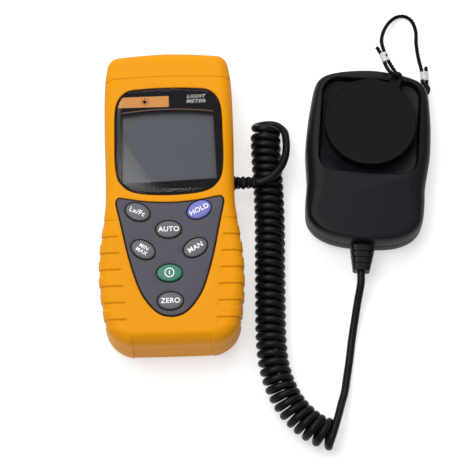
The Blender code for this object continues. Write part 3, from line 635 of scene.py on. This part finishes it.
def front_cover():
    obj = mesh_object("case_front", skin(front_rings(case_outline(case_spacing))))
    carve(obj, stacked(case_inner(), [(15, 0), (26, 0.6), (30.2, 3.2)]))
    carve(obj, pocket(lens_outline(), LENS_FLOOR, CASE_FRONT),
          pocket(panel_outline(), PANEL_FLOOR, CASE_FRONT))
    carve(obj, straight_cut(inset(window_opening(), -1.2), *THROUGH_FRONT))
    carve(obj, *at_keys(straight_cut(oval(KEY_HALF[0] + 0.9, KEY_HALF[1] + 0.9, 40), *THROUGH_FRONT)))
    carve(obj, top_line())
    carve(obj, gland_hole())
    piece(obj, "yellow_case", "meter", ["front_cover"])


def screw_places(obj, places, post, well):
    """Adds a post at each place and bores the well for its screw: both are profiles of height and radius."""
    for x, y in places:
        carve(obj, moved(turned(post, 32), x, y), operation="UNION")
        carve(obj, moved(turned(well, 32), x, y))


def rear_cover():
    outline = case_outline(case_spacing)
    normals = plan_normals(outline)
    levels = []
    for a in np.linspace(math.pi / 2, 0, 10):
        levels.append((BACK_RISE * (1 - math.sin(a)), BACK_REACH * (1 - math.cos(a)), math.sin(a)))
    levels += [(z, 0, 0) for z in np.linspace(BACK_RISE, CASE_SPLIT - 0.9, 9)[1:]]
    rise, depth = SEAM_CHAMFER
    levels += [(CASE_SPLIT - SEAM - rise, 0, 0), (CASE_SPLIT - SEAM, depth, 0)]
    rings = [worked_ring(lifted(inset(outline, distance), z), normals, -rise, 1 - rise, 1 - rise)
             for z, distance, rise in levels]
    obj = mesh_object("case_rear", skin(rings))
    carve(obj, stacked(case_inner(), [(3.2, 2), (6, 0.4), (19, 0)]))
    width, low, high, thick = DOOR
    bed = round_rectangle(0, (low + high) / 2 - 6, width + 0.6, high - low + 12.6, 1.6)
    carve(obj, stacked(bed, [(-0.6, -0.6), (0, -0.3), (0.3, 0), (thick + 0.3, 0)]))
    carve(obj, straight_cut(round_rectangle(0, -48, 26, 45, 2), 1, 5))
    screw_places(obj, CASE_SCREWS, [(2.6, 3.6), (16.4, 3.6)],
                 [(-0.6, 3.6), (0, 3.1), (0.3, 2.8), (3.4, 2.8), (3.4, 1.5), (18, 1.5)])
    carve(obj, gland_hole())
    piece(obj, "yellow_case", "meter", ["rear_cover"])


def battery_door():
    width, low, high, thick = DOOR
    outline = round_rectangle(0, (low + high) / 2, width, high - low, 1.5)
    levels = [(0, 0.45), (0.12, 0.15), (0.45, 0), (thick, 0)]
    obj = mesh_object("door_of_battery", stacked(outline, levels))
    grips = []
    for k in range(6):
        bar = round_rectangle(0, -70 + 2.2 * k, 15 - abs(k - 2.5), 1.1, 0.5, 4)
        grips.append(stacked(bar, [(-0.4, -0.3), (0.1, 0), (0.55, 0.25)]))
    arrow = np.array([(-3.2, -52), (0, -55.4), (3.2, -52), (1.3, -52), (1.3, -47.5), (-1.3, -47.5),
                      (-1.3, -52)])
    carve(obj, *grips, straight_cut(arrow, -0.4, 0.4))
    piece(obj, "yellow_case", "battery_door", ["battery_door"])


def cross_screw(name, place, sizes, body, node, matrix=None):
    """A pan-head screw with a cross recess in its head, which faces down."""
    seat, head_radius, tip, shank = sizes
    base = seat - 1.7
    profile = rounded_profile([(base, head_radius * 0.3), (base + 0.15, head_radius * 0.9),
                               (base + 0.8, head_radius), (seat, head_radius), (seat, shank)], 0.4)
    pitch = 0.8
    height = seat + 1
    while height < tip - 2:
        profile += [(height, shank), (height + pitch * 0.3, shank + 0.22), (height + pitch * 0.6, shank)]
        height += pitch
    profile += [(tip - 1.2, shank), (tip, shank * 0.25)]
    obj = mesh_object(name, turned(profile, 32))
    blade = straight_cut(round_rectangle(0, 0, head_radius * 1.15, 0.55, 0.2, 3), base - 0.5, base + 0.9)
    carve(obj, *[moved(blade, turn=turn) for turn in (0, 90)])
    obj.data.transform((matrix or Matrix.Identity(4)) @ Matrix.Translation(Vector((*place, 0)) * MM))
    piece(obj, "steel", body, [node])


# ---- display and keypad

def painted_gap_shade(name, outline, low, high):
    """Dark strip of painted shade that lines the gap round an inset plate, where little light gets in."""
    section = [(low, 0.03), (high - 0.1, 0.03), (high, 0.12), (high, GAP - 0.15), (high - 0.1, GAP - 0.06),
               (low, GAP - 0.06)]
    rings = [lifted(inset(outline, distance), height) for height, distance in section]
    piece(mesh_object(name, skin(rings, looped=True)), "painted_gap_shade", "meter")


def window_opening():
    """The clear part of the window: straight at three sides and arched at the top."""
    left, right, low, high = WINDOW_EDGES
    arch = [(right[1] + (left[1] - right[1]) * t, high - 1.2 + ARCH_RISE * (1 - (2 * t - 1) ** 2))
            for t in np.linspace(0, 1, 25)]
    return np.array([(left[0], low[0]), (right[0], low[1]), *arch])


def display():
    lens = mesh_object("window", plate(lens_outline(GAP), LENS_LEVELS, 0.7, 0.12, (0, 27), 12))
    piece(lens, "lens", "meter", ["display_lens"])
    # Dark strip of painted shade down in the gap round the window.
    painted_gap_shade("window_gap_shade", lens_outline(), LENS_FLOOR + 0.05, 32.85)
    mask = mesh_object("window_print", straight_cut(lens_outline(GAP), *PRINT_LEVELS))
    carve(mask, straight_cut(window_opening(), 31, 33))
    piece(mask, "lens_print", "meter", ["display_mask"])
    x, y, width, length = WINDOW
    outline = round_rectangle(x, y, width + 5, length + 6, 1.2)
    lcd = mesh_object("display_glass", plate(outline, LCD_LEVELS, 0.3, 0, (x, y), 4))
    piece(lcd, "lcd", "meter", ["lcd_panel"])
    hairline()
    badge()


def hairline():
    """The fine line printed along the arch of the opening."""
    line = [(x, 42.5 + ARCH_RISE * (1 - (x / 22.8) ** 2)) for x in np.linspace(-22.8, 22.4, 40)]
    strip = np.array([*[(x, y - 0.16) for x, y in line], *[(x, y + 0.16) for x, y in reversed(line)]])
    obj = mesh_object("window_hairline", on_print(strip, 0.02, 0.08))
    piece(obj, "hairline", "meter")


def on_print(outline, low, high):
    """A thin layer on top of the window's print."""
    return straight_cut(outline, PRINT_LEVELS[1] + low, PRINT_LEVELS[1] + high)


def badge():
    """Plain coloured strip in the header, with a sun sign, and the kind of instrument at the other end."""
    right, low, high = BADGE
    edge = lens_outline(GAP + 0.4)
    left_edge = edge[(edge[:, 0] < 0) & (edge[:, 1] > low) & (edge[:, 1] < high)]
    left_edge = left_edge[np.argsort(-left_edge[:, 1])]
    outline = np.array([(right, low), (right, high), *left_edge, (left_edge[-1][0], low)])
    piece(mesh_object("badge_strip", on_print(outline, 0.02, 0.09)), "badge", "meter")
    ray = on_print(round_rectangle(1.75, 0, 0.9, 0.36, 0.1, 2), 0.1, 0.16)
    rays = [moved(ray, turn=360 / SUN_RAYS * k) for k in range(SUN_RAYS)]
    sun = joined(on_print(oval(0.95, 0.95, 24), 0.1, 0.16), *rays)
    piece(mesh_object("badge_sun", moved(sun, *SUN_PLACE)), "lens_print", "meter")
    lettering("window_words", "LIGHT\nMETER", 2.6, WORDS_PLACE, 0, lambda x, y: PRINT_LEVELS[1] + 0.03,
              "meter", stretch=1.2, slant=0.25, line_pitch=1, boldness=0.004)


def lettering(name, words, size, centre, turn, height_at, body, stretch=1, slant=0, line_pitch=0.9,
              boldness=0.01):
    """Thin raised words, set on the surface below them."""
    data = bpy.data.curves.new(name, "FONT")
    data.body = words
    data.size = size
    data.align_x = "CENTER"
    data.align_y = "CENTER"
    data.space_line = line_pitch
    data.space_character = 1.06
    data.shear = slant
    data.offset = size * boldness
    data.extrude = LEGEND_HEIGHT
    text = linked(name, data)
    mesh = evaluated_mesh(text)
    bpy.data.objects.remove(text)
    points = np.array([vertex.co for vertex in mesh.vertices])
    points[:, :2] -= (points[:, :2].max(axis=0) + points[:, :2].min(axis=0)) / 2
    points[:, 0] *= stretch
    points[:, 2] += np.array([height_at(x, y) for x, y in points[:, :2]]) + LEGEND_HEIGHT
    spin = np.array(Matrix.Rotation(math.radians(turn), 3, "Z"))
    points = points @ spin.T + np.array([*centre, 0])
    mesh.vertices.foreach_set("co", (points * MM).ravel())
    mesh.update()
    piece(linked(name, mesh), "legend", body)


def key_height(x, y):
    """Height of a key's crowned top above the back."""
    return KEY_TOP_Z + 0.3 * (1 - (x / KEY_HALF[0]) ** 2 - (y / KEY_HALF[1]) ** 2)


def key_shape():
    """A key: a flange below the panel, an oval column, a rounded edge and a crowned top."""
    half_x, half_y = KEY_HALF
    flange = ((29.1, 0.9), (29.2, 1), (29.7, 1), (29.8, 0.9), (29.8, 0), (KEY_SHOULDER_Z, 0))
    rings = [lifted(oval(half_x + grow, half_y + grow), z) for z, grow in flange]
    for k in range(1, 7):
        a = math.pi / 2 * k / 6
        shrink = KEY_ROUNDING * (1 - math.cos(a))
        height = KEY_SHOULDER_Z + (KEY_TOP_Z - KEY_SHOULDER_Z) * math.sin(a)
        rings.append(lifted(oval(half_x - shrink, half_y - shrink), height))
    for t in np.linspace(0, 0.97, 9)[1:]:
        ring = oval((half_x - KEY_ROUNDING) * (1 - t), (half_y - KEY_ROUNDING) * (1 - t))
        rings.append(lifted(ring, KEY_TOP_Z + KEY_CROWN * (1 - (1 - t) ** 2)))
    return skin(rings)


def keypad():
    # Dark strip of painted shade down in the gap round the keypad.
    painted_gap_shade("keypad_gap_shade", panel_outline(), PANEL_FLOOR + 0.05, 32.8)
    panel = mesh_object("keypad_face", plate(panel_outline(GAP), PANEL_LEVELS, 0.4, 0, (0, -30), 3))
    carve(panel, *at_keys(pocket(oval(KEY_HALF[0] + 0.5, KEY_HALF[1] + 0.5), 30, PANEL_LEVELS[1], 0.2)))
    piece(panel, "panel", "meter", ["keypad_panel"])
    for name, (x, y, turn, words, size, finish) in KEYS.items():
        piece(mesh_object("cap_of_" + name, moved(key_shape(), x, y, turn=turn)), finish, name, [name])
        if words:
            lettering("legend_of_" + name, words, size, (x, y), turn, key_height, name)
    power_sign()


def power_sign():
    """Ring with a bar in it, on the power key."""
    x, y = KEYS["key_power"][:2]
    outer, inner = oval(2.35, 2.35, 48), oval(1.95, 1.95, 48)
    below, above = -0.02, 0.04
    ring = skin([on_key(outer, below), on_key(outer, above), on_key(inner, above), on_key(inner, below)],
                looped=True)
    bar = round_rectangle(0, 0, 0.45, 2, 0.2, 3)
    bar = skin([on_key(bar, below), on_key(bar, above)])
    obj = mesh_object("sign_of_power", moved(joined(ring, bar), x, y))
    piece(obj, "legend", "key_power")


def on_key(outline, above):
    """The outline laid on a key's crowned top, a little above or below it."""
    return np.column_stack([outline, [key_height(*point) + above for point in outline]])


# ---- sensor head

def head_matrix():
    """Places what is built in the head's own frame."""
    turn = Matrix.Rotation(math.radians(HEAD_TURN), 4, "Z")
    return Matrix.Translation(Vector((*HEAD_PLACE, 0)) * MM) @ turn


def head_piece(obj, finish, replaced, body="sensor_head"):
    obj.data.transform(head_matrix())
    return piece(obj, finish, body, [replaced])


def head_outline(half):
    return curve_through(mirrored(half), 10, closed=True)


def head_inner():
    return inset(resampled(head_outline(HEAD_SIDE), lambda x, y: 2.5), HEAD_WALL)


def head_front():
    side, crease = head_outline(HEAD_SIDE), head_outline(HEAD_CREASE)
    low, edge = HEAD_SPLIT + SEAM, HEAD_EDGE_START
    rings = [lifted(inset(side, 0.35), low - 0.1), lifted(inset(side, 0.06), low + 0.15)]
    rings += [lifted(inset(side, 0.02 * (z - HEAD_SPLIT)), z) for z in np.linspace(HEAD_SPLIT + 0.6, edge, 4)]
    base = inset(side, 0.06)
    for k in range(1, 15):
        a = math.pi / 2 * k / 14
        ring = base + (crease - base) * (1 - math.cos(a))
        rings.append(lifted(ring, edge + (HEAD_CREASE_Z - edge) * math.sin(a)))
    spine = np.column_stack([np.zeros(len(crease)), np.clip(crease[:, 1], 24, 68)])
    for t in np.linspace(0, 1, 5)[1:]:
        ring = crease + (spine - crease) * 0.12 * t
        rings.append(lifted(ring, HEAD_CREASE_Z + 0.3 * math.sin(t * math.pi / 2)))
    obj = mesh_object("head_shell_front", skin(rings))
    carve(obj, stacked(head_inner(), [(9, 0), (12.6, 0.6), (14.4, 4.6)]))
    floor = RECESS_FLOOR
    carve(obj, stacked(round_rectangle(*RECESS, 12), [
        (floor, 1.1), (floor + 0.15, 0.75), (floor + 0.7, 0.35), (19.6, 0.1), (20.1, -0.1), (20.4, -0.4),
        (20.52, -0.8), (21.2, -2)]))
    opening = turned([(9, 19.6), (floor - 0.2, 19.6), (floor + 0.1, 19.9), (20, 19.9)], 96)
    carve(obj, moved(opening, 0, SENSOR_V))
    carve(obj, relief_bore())
    head_piece(obj, "black_case", "head_front")


def at_lead_end(shape):
    """A shape built along +Z, laid along the lead where it comes out of the head."""
    return moved(shape, 0, 0, HEAD_SPLIT, tilt=(0, -1, 0))


def relief_bore():
    return at_lead_end(turned([(-4.9, 5.7), (-2.3, 5.7), (-2.3, 4.4), (4, 4.4)], 40))


def head_rear():
    side = head_outline(HEAD_SIDE)
    levels = [(4.2 * (1 - math.sin(a)), 3.8 * (1 - math.cos(a))) for a in np.linspace(math.pi / 2, 0, 9)]
    levels += [(z, 0) for z in np.linspace(5, HEAD_SPLIT - 0.7, 4)]
    levels += [(HEAD_SPLIT - SEAM - 0.25, 0.06), (HEAD_SPLIT - SEAM, 0.35)]
    obj = mesh_object("head_shell_rear", stacked(side, levels))
    carve(obj, stacked(head_inner(), [(2.4, 1.6), (5, 0.4), (11, 0)]))
    tab = turned(rounded_profile([(6.4, 1), (6.4, 3.3), (9, 3.3), (9, 1)], 0.5), 40)
    carve(obj, moved(tab, *EYELET), operation="UNION")
    carve(obj, moved(turned([(5.9, 1.9), (6.5, 1.45), (8.9, 1.45), (9.5, 1.9)], 32), *EYELET))
    carve(obj, relief_bore())
    screw_places(obj, HEAD_SCREWS, [(1.6, 3), (9.4, 3)],
                 [(-0.6, 3.1), (0, 2.6), (0.3, 2.3), (2.9, 2.3), (2.9, 1.3), (11, 1.3)])
    head_piece(obj, "black_case", "head_rear")


def light_parts():
    """The opal dome over the sensor and the ring that holds it."""
    dome = rounded_profile([(12.8, 20.8), (14.1, 20.8), (14.1, 19.2), (16.9, 19.2), (17.9, 17.6), (18.5, 10),
                            (18.6, 1)], 0.8)
    head_piece(mesh_object("opal_dome", moved(turned(dome, 96), 0, SENSOR_V)), "opal", "diffuser")
    section = [(16.8, 21.6), (17.7, 21.6), (18.2, 21.2), (18.2, 20.2), (17.8, 19.7), (16.8, 19.6)]
    ring = turned(section, 96, looped=True)
    head_piece(mesh_object("dome_ring", moved(ring, 0, SENSOR_V)), "black_case", "diffuser_ring")


def sensor_cap():
    """A hollow disc, with a lug on a short strap at its rim."""
    base, top, radius = CAP_BASE_Z, CAP_TOP_Z, CAP_RADIUS
    outside = [(base, 22.2), (base, radius - 0.25), (top - 0.2, radius), (top, radius - 0.5),
               (top - 0.12, radius - 1.3), (top - 0.2, 14), (top - 0.25, 1)]
    obj = mesh_object("cap_shell", moved(turned(rounded_profile(outside, 0.45, 5), 128), 0, SENSOR_V))
    low, high = CAP_LUG_LEVELS
    strap = stacked(round_rectangle(0, -4.2, 5.8, 9, 0.4, 3),
                    [(low, 0.3), (low + 0.3, 0), (high - 0.3, 0), (high, 0.3)])
    tongue = turned(rounded_profile([(low, 1), (low, 3), (high, 3), (high, 1)], 0.5), 40)
    carve(obj, moved(strap, *CAP_LUG, turn=CAP_LUG_TURN), moved(tongue, *CAP_LUG), operation="UNION")
    hollow = turned([(base - 1, 22), (top - 1.4, 22), (top - 1.2, 21.6)], 96)
    carve(obj, moved(hollow, 0, SENSOR_V))
    hole = turned([(low - 0.5, 1.9), (low + 0.1, 1.4), (high - 0.1, 1.4), (high + 0.5, 1.9)], 32)
    carve(obj, moved(hole, *CAP_LUG))
    head_piece(obj, "black_cap", "sensor_cap", "sensor_cap")


# ---- reliefs, leads and keeper

def squarish(half_x, half_y):
    """A rounded square section: a superellipse."""
    power = 4.5
    circle = oval(1, 1)
    reach = (np.abs(circle / (half_x, half_y)) ** power).sum(axis=1) ** (-1 / power)
    return circle * reach[:, None]


def head_relief():
    """Tapered relief with four bands, flat on top, below its round neck in the head."""
    neck = ((-4.4, 5), (-4.3, 5.3), (-2.7, 5.3), (-2.6, 4.1), (0.35, 4.1))
    rings = [lifted(oval(radius, radius), z) for z, radius in neck]
    bands = [(0.5, 6.1, 5.2), (3.3, 5.8, 5), (3.5, 5, 4.2), (4.2, 4.9, 4.1), (4.4, 5.6, 4.8), (6.3, 5.3, 4.6),
             (6.5, 4.5, 3.9), (7.2, 4.4, 3.8), (7.4, 5.1, 4.5), (9.2, 4.8, 4.3), (9.4, 4, 3.6),
             (10.1, 3.9, 3.5), (10.3, 4.6, 4.2), (12.7, 4.2, 3.9), (13, 3.8, 3.5), (13, 2.3, 2.3)]
    rings += [lifted(squarish(half_x, half_y), z) for z, half_x, half_y in bands]
    obj = mesh_object("head_relief_rings", at_lead_end(skin(rings)))
    carve(obj, at_lead_end(turned([(5, 2), (16, 2)], 32)))
    return head_piece(obj, "cord", "head_relief")


def meter_gland():
    """Short relief of round beads, cut through by staggered slots."""
    beads, start, length = 4, 32.4, 10.4
    profile = [(26.8, 2.4), (26.8, 4.7), (28.8, 4.7), (28.8, 3.6), (start, 3.6)]
    profile += [(start + length * t, 3.05 - 0.42 * math.cos(2 * math.pi * beads * t) - 0.25 * t)
                for t in np.linspace(0.02, 1, 50)]
    profile += [(42.9, 2.3)]
    obj = mesh_object("gland_body", turned(rounded_profile(profile, 0.15, 2), 48))
    points, faces = straight_cut(round_rectangle(0, 0, 0.9, 4.6, 0.3, 3), 2.4, 5)
    slot = points[:, [2, 1, 0]] * (1, 1, -1), faces
    slots = []
    for k in range(beads):
        for side in (0, 1):
            slots.append(moved(slot, z=33.7 + length / beads * k, turn=90 * (k % 2) + 180 * side))
    carve(obj, *slots)
    carve(obj, turned([(30, 2), (45, 2)], 32))
    along = Vector((1, 0, 0)).to_track_quat("Z", "Y").to_matrix().to_4x4()
    obj.data.transform(Matrix.Translation(Vector((0, *GLAND)) * MM) @ along)
    return piece(obj, "cord", "meter", ["meter_gland"])


def by_length(path, spacing):
    """The same route with its points an even distance apart."""
    along = travelled(path)
    wanted = np.linspace(0, along[-1], max(2, int(round(along[-1] / spacing)) + 1))
    return np.stack([np.interp(wanted, along, path[:, k]) for k in range(3)], axis=1)


def curl():
    """The curled stretch: a helix round a bent line, from the top of its first turn."""
    line = by_length(curve_through(CURL_LINE, 24), 0.25)
    tangents = tangents_of(line)
    up = np.array([0, 0, 1])
    count = int(CURL_TURNS * CURL_STEPS_PER_TURN)
    wide_from, wide_to, widening = CURL_WIDENING
    found = []
    for k in range(count + 1):
        share = k / count
        at = float(np.interp(share * CURL_TURNS, *np.transpose(CURL_PITCH))) * (len(line) - 1)
        i = min(int(at), len(line) - 2)
        middle = line[i] + (line[i + 1] - line[i]) * (at - i)
        side = np.cross(up, tangents[i])
        side /= np.linalg.norm(side)
        angle = math.pi / 2 - 2 * math.pi * CURL_TURNS * share
        wider = widening * float(np.interp(share, [wide_from, wide_to], [0, 1]))
        radius = CURL_RADIUS + wider
        found.append(middle + wider * up + radius * (math.cos(angle) * side + math.sin(angle) * up))
    return np.array(found)


def cord_object(name, shape, finish):
    obj = mesh_object(name, shape)
    soften(obj, 60)
    obj.data.materials.append(MATERIALS[finish])
    return obj


def lead(relief, gland):
    """The whole lead as one tube: over the curl, round and round, and along the floor to the head."""
    turns = curl()
    steps = 8
    start = curve_through([*LEAD_OVER_CURL, turns[0], turns[1]], steps)[:-steps - 1]
    end = curve_through([turns[-2], turns[-1], *LEAD_TO_HEAD], steps)[steps + 1:]
    path = np.vstack([by_length(start, 1.4), turns, by_length(end, 1.6)])
    path[:, 2] = np.maximum(path[:, 2], WIRE / 2)
    obj = cord_object("sensor_lead", swept(path, WIRE / 2, 12), "cord")
    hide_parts("lead_meter", "curly_lead", "lead_head")
    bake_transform(obj)


def crimp_frame(crimp):
    """Centre, long direction and cross direction of a crimped sleeve."""
    centre, heading = crimp
    cosine, sine = math.cos(math.radians(heading)), math.sin(math.radians(heading))
    return np.array(centre), np.array([cosine, sine, 0]), np.array([sine, -cosine, 0])


def crimp_piece(name, crimp, body, node):
    """Clear sleeve, pinched at its middle, round two runs of cord."""
    centre, along, across = crimp_frame(crimp)
    length, width, height = CRIMP
    up = np.array([0, 0, 1])
    section = oval(width / 2, height / 2, 40)
    rings = []
    for t in np.linspace(-1, 1, 15):
        pinch = 1 - CRIMP_PINCH * math.exp(-(t / 0.35) ** 2)
        end = 1 - 0.10 * abs(t) ** 12
        beside, above = section[:, :1] * end / pinch ** 0.5, section[:, 1:] * end * pinch
        rings.append(centre + along * t * length / 2 + across * beside + up * above)
    return piece(mesh_object(name, skin(rings)), "clear_sleeve", body, [node])


def keeper():
    """The cap's cord as one tube, from its tail at the cap to its tail at the head."""
    runs = []
    for crimp in (CRIMP_CAP, CRIMP_HEAD):
        centre, along, across = crimp_frame(crimp)
        half = along * CRIMP[0] / 2
        beside = across * CRIMP_RUN
        runs.append([centre + half - beside, centre - half - beside,
                     centre - half + beside, centre + half + beside])
    cap, head = runs
    path = curve_through([KEEPER_CAP_TAIL, *cap[:2], *KEEPER_CAP_LOOP, *cap[2:], *KEEPER_ARC, *head[:2],
                          *KEEPER_HEAD_LOOP, *head[2:], KEEPER_HEAD_TAIL], 8)
    path = by_length(path, 0.35)
    obj = cord_object("cap_keeper", swept(path, KEEPER / 2, 18, KEEPER_STRANDS, KEEPER_LAY), "braid")
    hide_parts("keeper_cord", "keeper_cap_loop", "keeper_head_loop", "keeper_cap_tail",
                "keeper_head_tail")
    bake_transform(obj)
    sleeves = [crimp_piece("sleeve_cap", CRIMP_CAP, "sensor_cap", "crimp_cap"),
               crimp_piece("sleeve_head", CRIMP_HEAD, "sensor_head", "crimp_head")]


# ---- stage

def dress_carried_nodes():
    """Gives every solid that still shows the finish of its slot."""
    for part in frame["record"]["subparts"]:
        node = frame["nodes"][part["node"]]
        node.data.materials.clear()
        node.data.materials.append(MATERIALS[part["material_slot"]])


def stage():
    stage_floor()
    world = bpy.data.worlds.new("studio")
    bpy.context.scene.world = world
    world.use_nodes = True
    background = world.node_tree.nodes["Background"]
    background.inputs["Color"].default_value = (1, 1, 1, 1)
    background.inputs["Strength"].default_value = WORLD_POWER
    # The key light's corner edge is what the window reflects at its lower left.
    area_light("key_light", (-0.33, 0.13, 1), None, 0.7, 0.7, KEY_LIGHT_POWER, turn=-54.5)
    area_light("top_light", (0.10, 0.95, 0.95), (0.03, 0, 0), 0.9, 0.7, TOP_LIGHT_POWER)
    stage_camera()
    bpy.context.scene.view_settings.view_transform = "Standard"


def stage_floor():
    """A pale floor just under the object, with a glow of its own to bring it close to white."""
    bpy.ops.mesh.primitive_plane_add(size=6, location=(0.03, 0, -0.0001))
    floor = bpy.context.object
    floor.name = "stage_floor"
    made = bpy.data.materials.new("stage_floor")
    made.use_nodes = True
    shader = made.node_tree.nodes["Principled BSDF"]
    shader.inputs["Base Color"].default_value = (FLOOR_GREY, FLOOR_GREY, FLOOR_GREY, 1)
    shader.inputs["Roughness"].default_value = 0.7
    shader.inputs["Emission Color"].default_value = (1, 1, 1, 1)
    shader.inputs["Emission Strength"].default_value = FLOOR_GLOW
    floor.data.materials.append(made)


def stage_camera():
    data = bpy.data.cameras.new("camera")
    data.sensor_width = CAMERA_FILM
    data.lens = CAMERA_LENS
    data.clip_end = 20
    camera = linked("camera", data)
    place = Vector(CAMERA_PLACE)
    forward = (Vector(CAMERA_AIM) - place).normalized()
    right = forward.cross(Vector((0, 0, 1))).normalized()
    turn = Matrix((right, right.cross(forward), -forward)).transposed()
    camera.matrix_world = Matrix.Translation(place) @ turn.to_4x4()
    bpy.context.scene.camera = camera


def area_light(name, place, target, width, height, power, turn=0):
    """A rectangular light that faces its target or, with none, straight down and turned about Z."""
    data = bpy.data.lights.new(name, "AREA")
    data.shape = "RECTANGLE"
    data.size, data.size_y = width, height
    data.energy = power
    light = linked(name, data)
    light.location = place
    if target is None:
        light.rotation_euler = (0, 0, math.radians(turn))
    else:
        light.rotation_euler = (Vector(place) - Vector(target)).to_track_quat("Z", "Y").to_euler()


def main():
    make_materials()
    dress_carried_nodes()
    stage()
    lead(head_relief(), meter_gland())
    keeper()
    front_cover()
    rear_cover()
    battery_door()
    for k, place in enumerate(CASE_SCREWS, 1):
        cross_screw(f"meter_screw_{k}", place, CASE_SCREW, "meter", f"case_screw_{k}")
    display()
    keypad()
    head_front()
    head_rear()
    light_parts()
    sensor_cap()
    for k, place in enumerate(HEAD_SCREWS, 1):
        cross_screw(f"shell_screw_{k}", place, HEAD_SCREW, "sensor_head", f"head_screw_{k}", head_matrix())


main()
